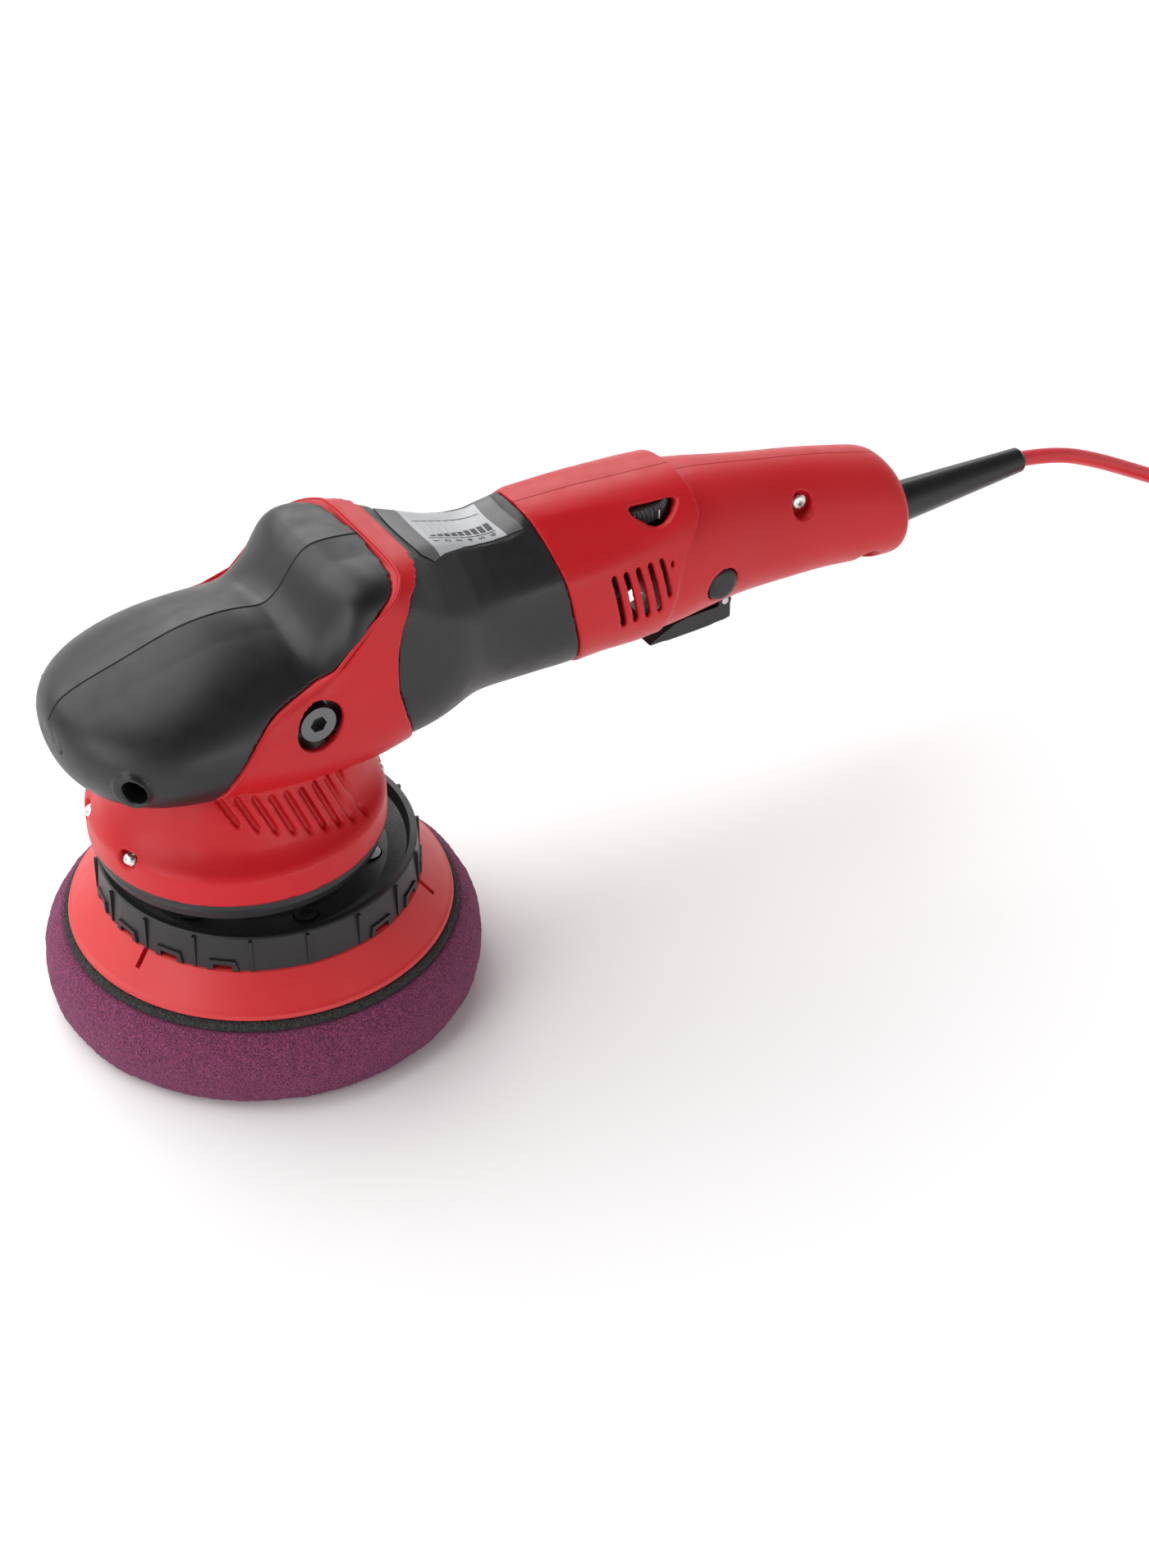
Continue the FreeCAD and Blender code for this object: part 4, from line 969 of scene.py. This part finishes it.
def make_handle():
    collar = curve_through(COLLAR, 120)
    grip = curve_through(GRIP, 150)
    face = [row for row in grip if row[0] > 172]
    whole = handle_skin(collar, face, 0, True)
    face_outwards(whole)
    within = handle_skin([row for row in collar if row[0] < 184],
                         [row for row in grip if 183 < row[0] < 296], -2.7, False)
    for vertex in within.data.vertices:
        if vertex.co.x < 119.5 * MM:
            vertex.co.x -= 6 * MM
    combine(whole, [within], "DIFFERENCE")
    posts = []
    for x, z in SCREWS:
        rows = grip if x > 200 else collar
        reach = -near_side(rows, x, z) - 1.4
        posts.append(rod("post", (x, -reach, z), Y, 2 * reach, 6.2))
    first = posts.pop()
    combine(first, posts, "UNION")
    combine(first, [handle_skin(collar, face, -0.8, True)], "INTERSECT")
    combine(whole, [first], "UNION")
    disc = skin("disc", [section(station_at(grip, x), grow=-1.2) for x in (291, 295)], None)
    combine(disc, [rod("hole", (280, 0, 114), X, 30, 9.1)], "DIFFERENCE")
    combine(whole, [disc], "UNION")
    cutters = [rod("bore", (295.1, 0, 114), X, 20, 8.9)]
    cutters += [rod("hole", (x, -60, z), Y, 120, 1.8) for x, z in SCREWS]
    for (x, z), floor in zip(SCREWS, (15.8, 6.5, 10.5)):
        cutters.append(rod("counterbore", (x, -60, z), Y, 60 - floor, 5.2))
    cutters.append(rod("button_bore", (BUTTON[0], -40, BUTTON[1]), Y, 30, 7.35))
    surface = near_side(collar, 200, BUTTON[1])
    cutters.append(rod("button_dish", (BUTTON[0], -60, BUTTON[1]), Y, 60 + surface + 1.1, 9.2))
    for s in (-1, 1):
        for k in range(6):
            cutters.append(vent_slot(s, k))
    opening = [(177, 90), (218.4, 90), (218.4, 113), (177, 113)]
    cutters.append(slab("opening", opening, 13.4, -13.4))
    combine(whole, cutters, "DIFFERENCE")
    pocket = facet_loft("pocket", [(POCKET, 1.5), (POCKET, 0.05), (APERTURE, -2.6)])
    window = facet_loft("window", [(APERTURE, 2), (APERTURE, -7)])
    room = rod("room", (DIAL[0], DIAL[1], 161.5), Z, 7.0, 17.3, around=96)
    combine(whole, [pocket, window, room], "DIFFERENCE")
    remesh(whole, 0.72, 4)
    whole.data.materials.clear()
    for side, name, node in ((-1, "handle_left", "handle_shell_left"),
                             (1, "handle_right", "handle_shell_right")):
        half = link(name, whole.data.copy())
        near, far = sorted((side * 0.18, side * 70))
        combine(half, [slab("half", [(90, 60), (330, 60), (330, 230), (90, 230)], far, near)],
                "INTERSECT")
        coat(half, SLOT_OF[node])
        soften(half, REMESHED_EDGE)
        place(half, "housing", SLOT_OF[node], node)
    bpy.data.objects.remove(whole)


def domed_screw(tip, direction, length, shank, head, rise):
    """A screw with a domed head and a star-shaped socket; length runs to the top of the head."""
    tip, direction = Vector(tip), Vector(direction)
    side = direction.orthogonal().normalized()
    up = direction.cross(side)
    profile = [(0, 0.02), (0, shank), (length - rise - 0.8, shank), (length - rise - 0.8, head),
               (length - rise, head), (length - rise * 0.5, head * 0.9),
               (length - rise * 0.15, head * 0.7), (length, head * 0.52)]
    rings = [(t, [r] * 72) for t, r in profile]
    star = [head * (0.36 + 0.09 * math.cos(math.pi * k / 6)) for k in range(72)]
    rings += [(length, star), (length - 1.4, star), (length - 1.4, [0.01] * 72)]
    made = skin("screw", [[tip + direction * t + (side * c + up * s) * r
                           for r, (c, s) in zip(radii, spokes(72))] for t, radii in rings],
                "zinc_steel")
    face_outwards(made)
    return made


def make_screws():
    shell = [domed_screw((x, 10.8, z), (0, -1, 0), 10.8 - face, 1.7, 3.5, 0.9)
             for (x, z), face in zip(SCREWS, (-18.6, -9.5, -13.5))]
    rim = []
    for a in RIM_ANGLES:
        x, y = math.cos(math.radians(a)), math.sin(math.radians(a))
        rim.append(domed_screw((54 * x, 54 * y, 79.4), (0, 0, 1), 12.4, 1.6, 3.5, 2.0))
    for name, screws, node in (("shell_screws", shell, "handle_screws"),
                               ("skirt_screws", rim, "rim_screws")):
        whole = join(name, screws)
        soften(whole, 35)
        place(whole, "housing", "zinc_steel", node)


def vent_slot(side, k):
    """One of the collar's leaning slots, cut through the wall on one side."""
    length, half = ((25.5, 1.1), (25, 1.1), (25, 1.1), (24.5, 1.1), (19, 0.95), (10, 0.7))[k]
    lean = math.radians(11.5 if k < 5 else -6)
    top = Vector((148.4 + 5.55 * k, 0, 153))
    down = Vector((math.sin(lean), 0, -math.cos(lean)))
    across = Vector((math.cos(lean), 0, math.sin(lean)))
    outline = []
    for j in range(20):
        a = math.pi * (j / 9 if j < 10 else 1 + (j - 10) / 9)
        centre = top + down * (half if j < 10 else length - half)
        outline.append(centre + (across * math.cos(a) - down * math.sin(a)) * half)
    rings = [[(p.x, side * y, p.z) for p in outline] for y in (45, 22)]
    return skin("vent", rings, None)


# ---- dial and lock button ----
def glyph(name, text, size, where, material, thickness=0.12):
    """A generic figure, its flat outline carried on to a surface by where(u, v, w)."""
    data = bpy.data.curves.new(name, "FONT")
    data.body = text
    data.size = size
    data.align_x = "CENTER"
    data.align_y = "CENTER"
    data.extrude = thickness
    data.resolution_u = 4
    flat = link(name, data)
    bpy.context.view_layer.update()
    graph = bpy.context.evaluated_depsgraph_get()
    mesh = bpy.data.meshes.new_from_object(flat.evaluated_get(graph))
    bpy.data.objects.remove(flat)
    for vertex in mesh.vertices:
        vertex.co = Vector(where(*vertex.co)) * MM
    mesh.update()
    figure = link(name, mesh)
    coat(figure, material)
    return figure


def make_dial():
    """The speed wheel: ribbed, with a smooth patch that carries its mark."""
    ribs, low, high = 52, 162.0, 167.9
    around = ribs * 8
    mark_angle = 288.6
    profile = [(low, -1.2), (low, -0.6), (low + 0.5, 0), (high - 1.4, 0), (high, -1.2), (high, -2)]
    rings = []
    for z, inset in profile:
        ring = []
        for k in range(around):
            a = 2 * math.pi * k / around
            off = abs((math.degrees(a) - mark_angle + 180) % 360 - 180)
            ridge = 0.8 * (1 - abs(math.cos(a * ribs / 2))) if off > 8 else 0.3
            r = 16.8 - ridge + inset
            ring.append((DIAL[0] + r * math.cos(a), DIAL[1] + r * math.sin(a), z))
        rings.append(ring)
    centre = [[(DIAL[0] + 4 * c, DIAL[1] + 4 * s, z) for c, s in spokes(around)]
              for z in (low, high)]
    wheel = skin("dial_wheel", [centre[0]] + rings + [centre[1]], "dial_grip")
    face_outwards(wheel)
    bore = rod("bore", (DIAL[0], DIAL[1], low - 1), Z, high - low - 0.2, 2.35)
    combine(wheel, [bore], "DIFFERENCE")
    soften(wheel, 32)
    place(wheel, "speed_dial", "dial_grip", "speed_dial")

    def on_rim(u, v, w):
        a = math.radians(mark_angle) + u / 16.5
        r = 16.56 + w
        return (DIAL[0] + r * math.cos(a), DIAL[1] + r * math.sin(a), 163.9 + v)

    mark = glyph("dial_mark", "1", 5.6, on_rim, "mark_white")
    place(mark, "speed_dial", "mark_white")


def make_button():
    outline = [(-29.6, 0), (-29.6, 2), (-29.5, 3.8), (-29.2, 5.2), (-28.6, 6.2), (-27.8, 6.8),
               (-26.8, 7.0), (-20.6, 7.0), (-20.6, 3.0), (-12.2, 3.0), (-12.2, 0)]
    rings = [[(BUTTON[0] + max(r, 0.02) * c, y, BUTTON[1] + max(r, 0.02) * s)
              for c, s in spokes(72)] for y, r in outline]
    button = skin("lock_cap", rings, "black_plastic")
    face_outwards(button)
    soften(button, 40)
    place(button, "lock_button", "black_plastic", "lock_button")


def make_trigger():
    """The paddle under the handle: a hooked front lip, a flat belly and a square rear end."""
    outline = [(178.2, 97.6), (179.2, 97.0), (183, 97.0), (188, 96.6), (200, 96.4),
               (212, 96.9), (217.2, 97.4), (217.2, 104.6), (196, 104.6), (190, 103.4),
               (184, 100.6), (180, 98.6)]
    paddle = slab("trigger", outline, 12.7, -12.7)
    face_outwards(paddle)
    knuckle = rod("knuckle", (214.5, -12.7, 106), Y, 25.4, 3)
    combine(paddle, [knuckle], "UNION")
    combine(paddle, [rod("bore", (214.5, -14, 106), Y, 28, 1.55)], "DIFFERENCE")
    remesh(paddle, 0.45, 4)
    coat(paddle, "black_plastic")
    place(paddle, "trigger", "black_plastic", "trigger_paddle")
    pin = rod("hinge_pin", (214.5, -12.6, 106), Y, 25.2, 1.5)
    coat(pin, "steel")
    face_outwards(pin)
    place(pin, "housing", "steel", "trigger_pin")


# ---- label ----
def make_label():
    rows = curve_through(MOTOR, 150)

    for name, x0, x1, material, nodes in (("label_face", 80.0, 112.0, "label", ["rating_label"]),
                                          ("label_front", 71.8, 79.9, "label_grey", []),
                                          ("label_rear", 112.1, 118.8, "label_grey", [])):
        part = label_slab(name, 0.42, 0.0, -0.12, x0, x1, material)
        face_outwards(part)
        place(part, "housing", material, *nodes)

    def on_top(x, y, w):
        return (x, y, crown_cached(rows, x, y) - 0.1 + w)

    for k in range(6):
        x, y = 84.5 + 4.9 * k, -10.6 + 0.12 * k
        figure = glyph(f"figure_{k + 1}", str(k + 1), 3.4,
                       lambda u, v, w, x=x, y=y: on_top(x - v, y + u, w * 0.5 + 0.06),
                       "label_print", 0.06)
        place(figure, "housing", "label_print")
    bars = []
    for k in range(9):
        x0 = 84 + 3.05 * k
        bars.append(plate_on(on_top, x0, x0 + 2.2, -7.4, -7.4 + 1.0 + 0.45 * k))
    for y0, y1 in ((-8.6, -8.35), (4.3, 4.55)):
        bars.append(plate_on(on_top, 82.0, 111.0, y0, y1))
    bars = join("label_bars", bars)
    coat(bars, "label_print")
    place(bars, "housing", "label_print")


def plate_on(where, x0, x1, y0, y1, count=10):
    """A thin printed patch that lies on the label."""
    top, low = [], []
    for i in range(count):
        for j in range(count):
            x = x0 + (x1 - x0) * i / (count - 1)
            y = y0 + (y1 - y0) * j / (count - 1)
            top.append(where(x, y, 0.05))
            low.append(where(x, y, -0.1))
    patch = build("patch", top + low, sheet_faces(count, count), "label_print", SHEET_EDGE)
    face_outwards(patch)
    return patch


make_cord()
make_pad()
make_head()
make_motor_housing()
make_label()
make_handle()
make_screws()
make_dial()
make_button()
make_trigger()
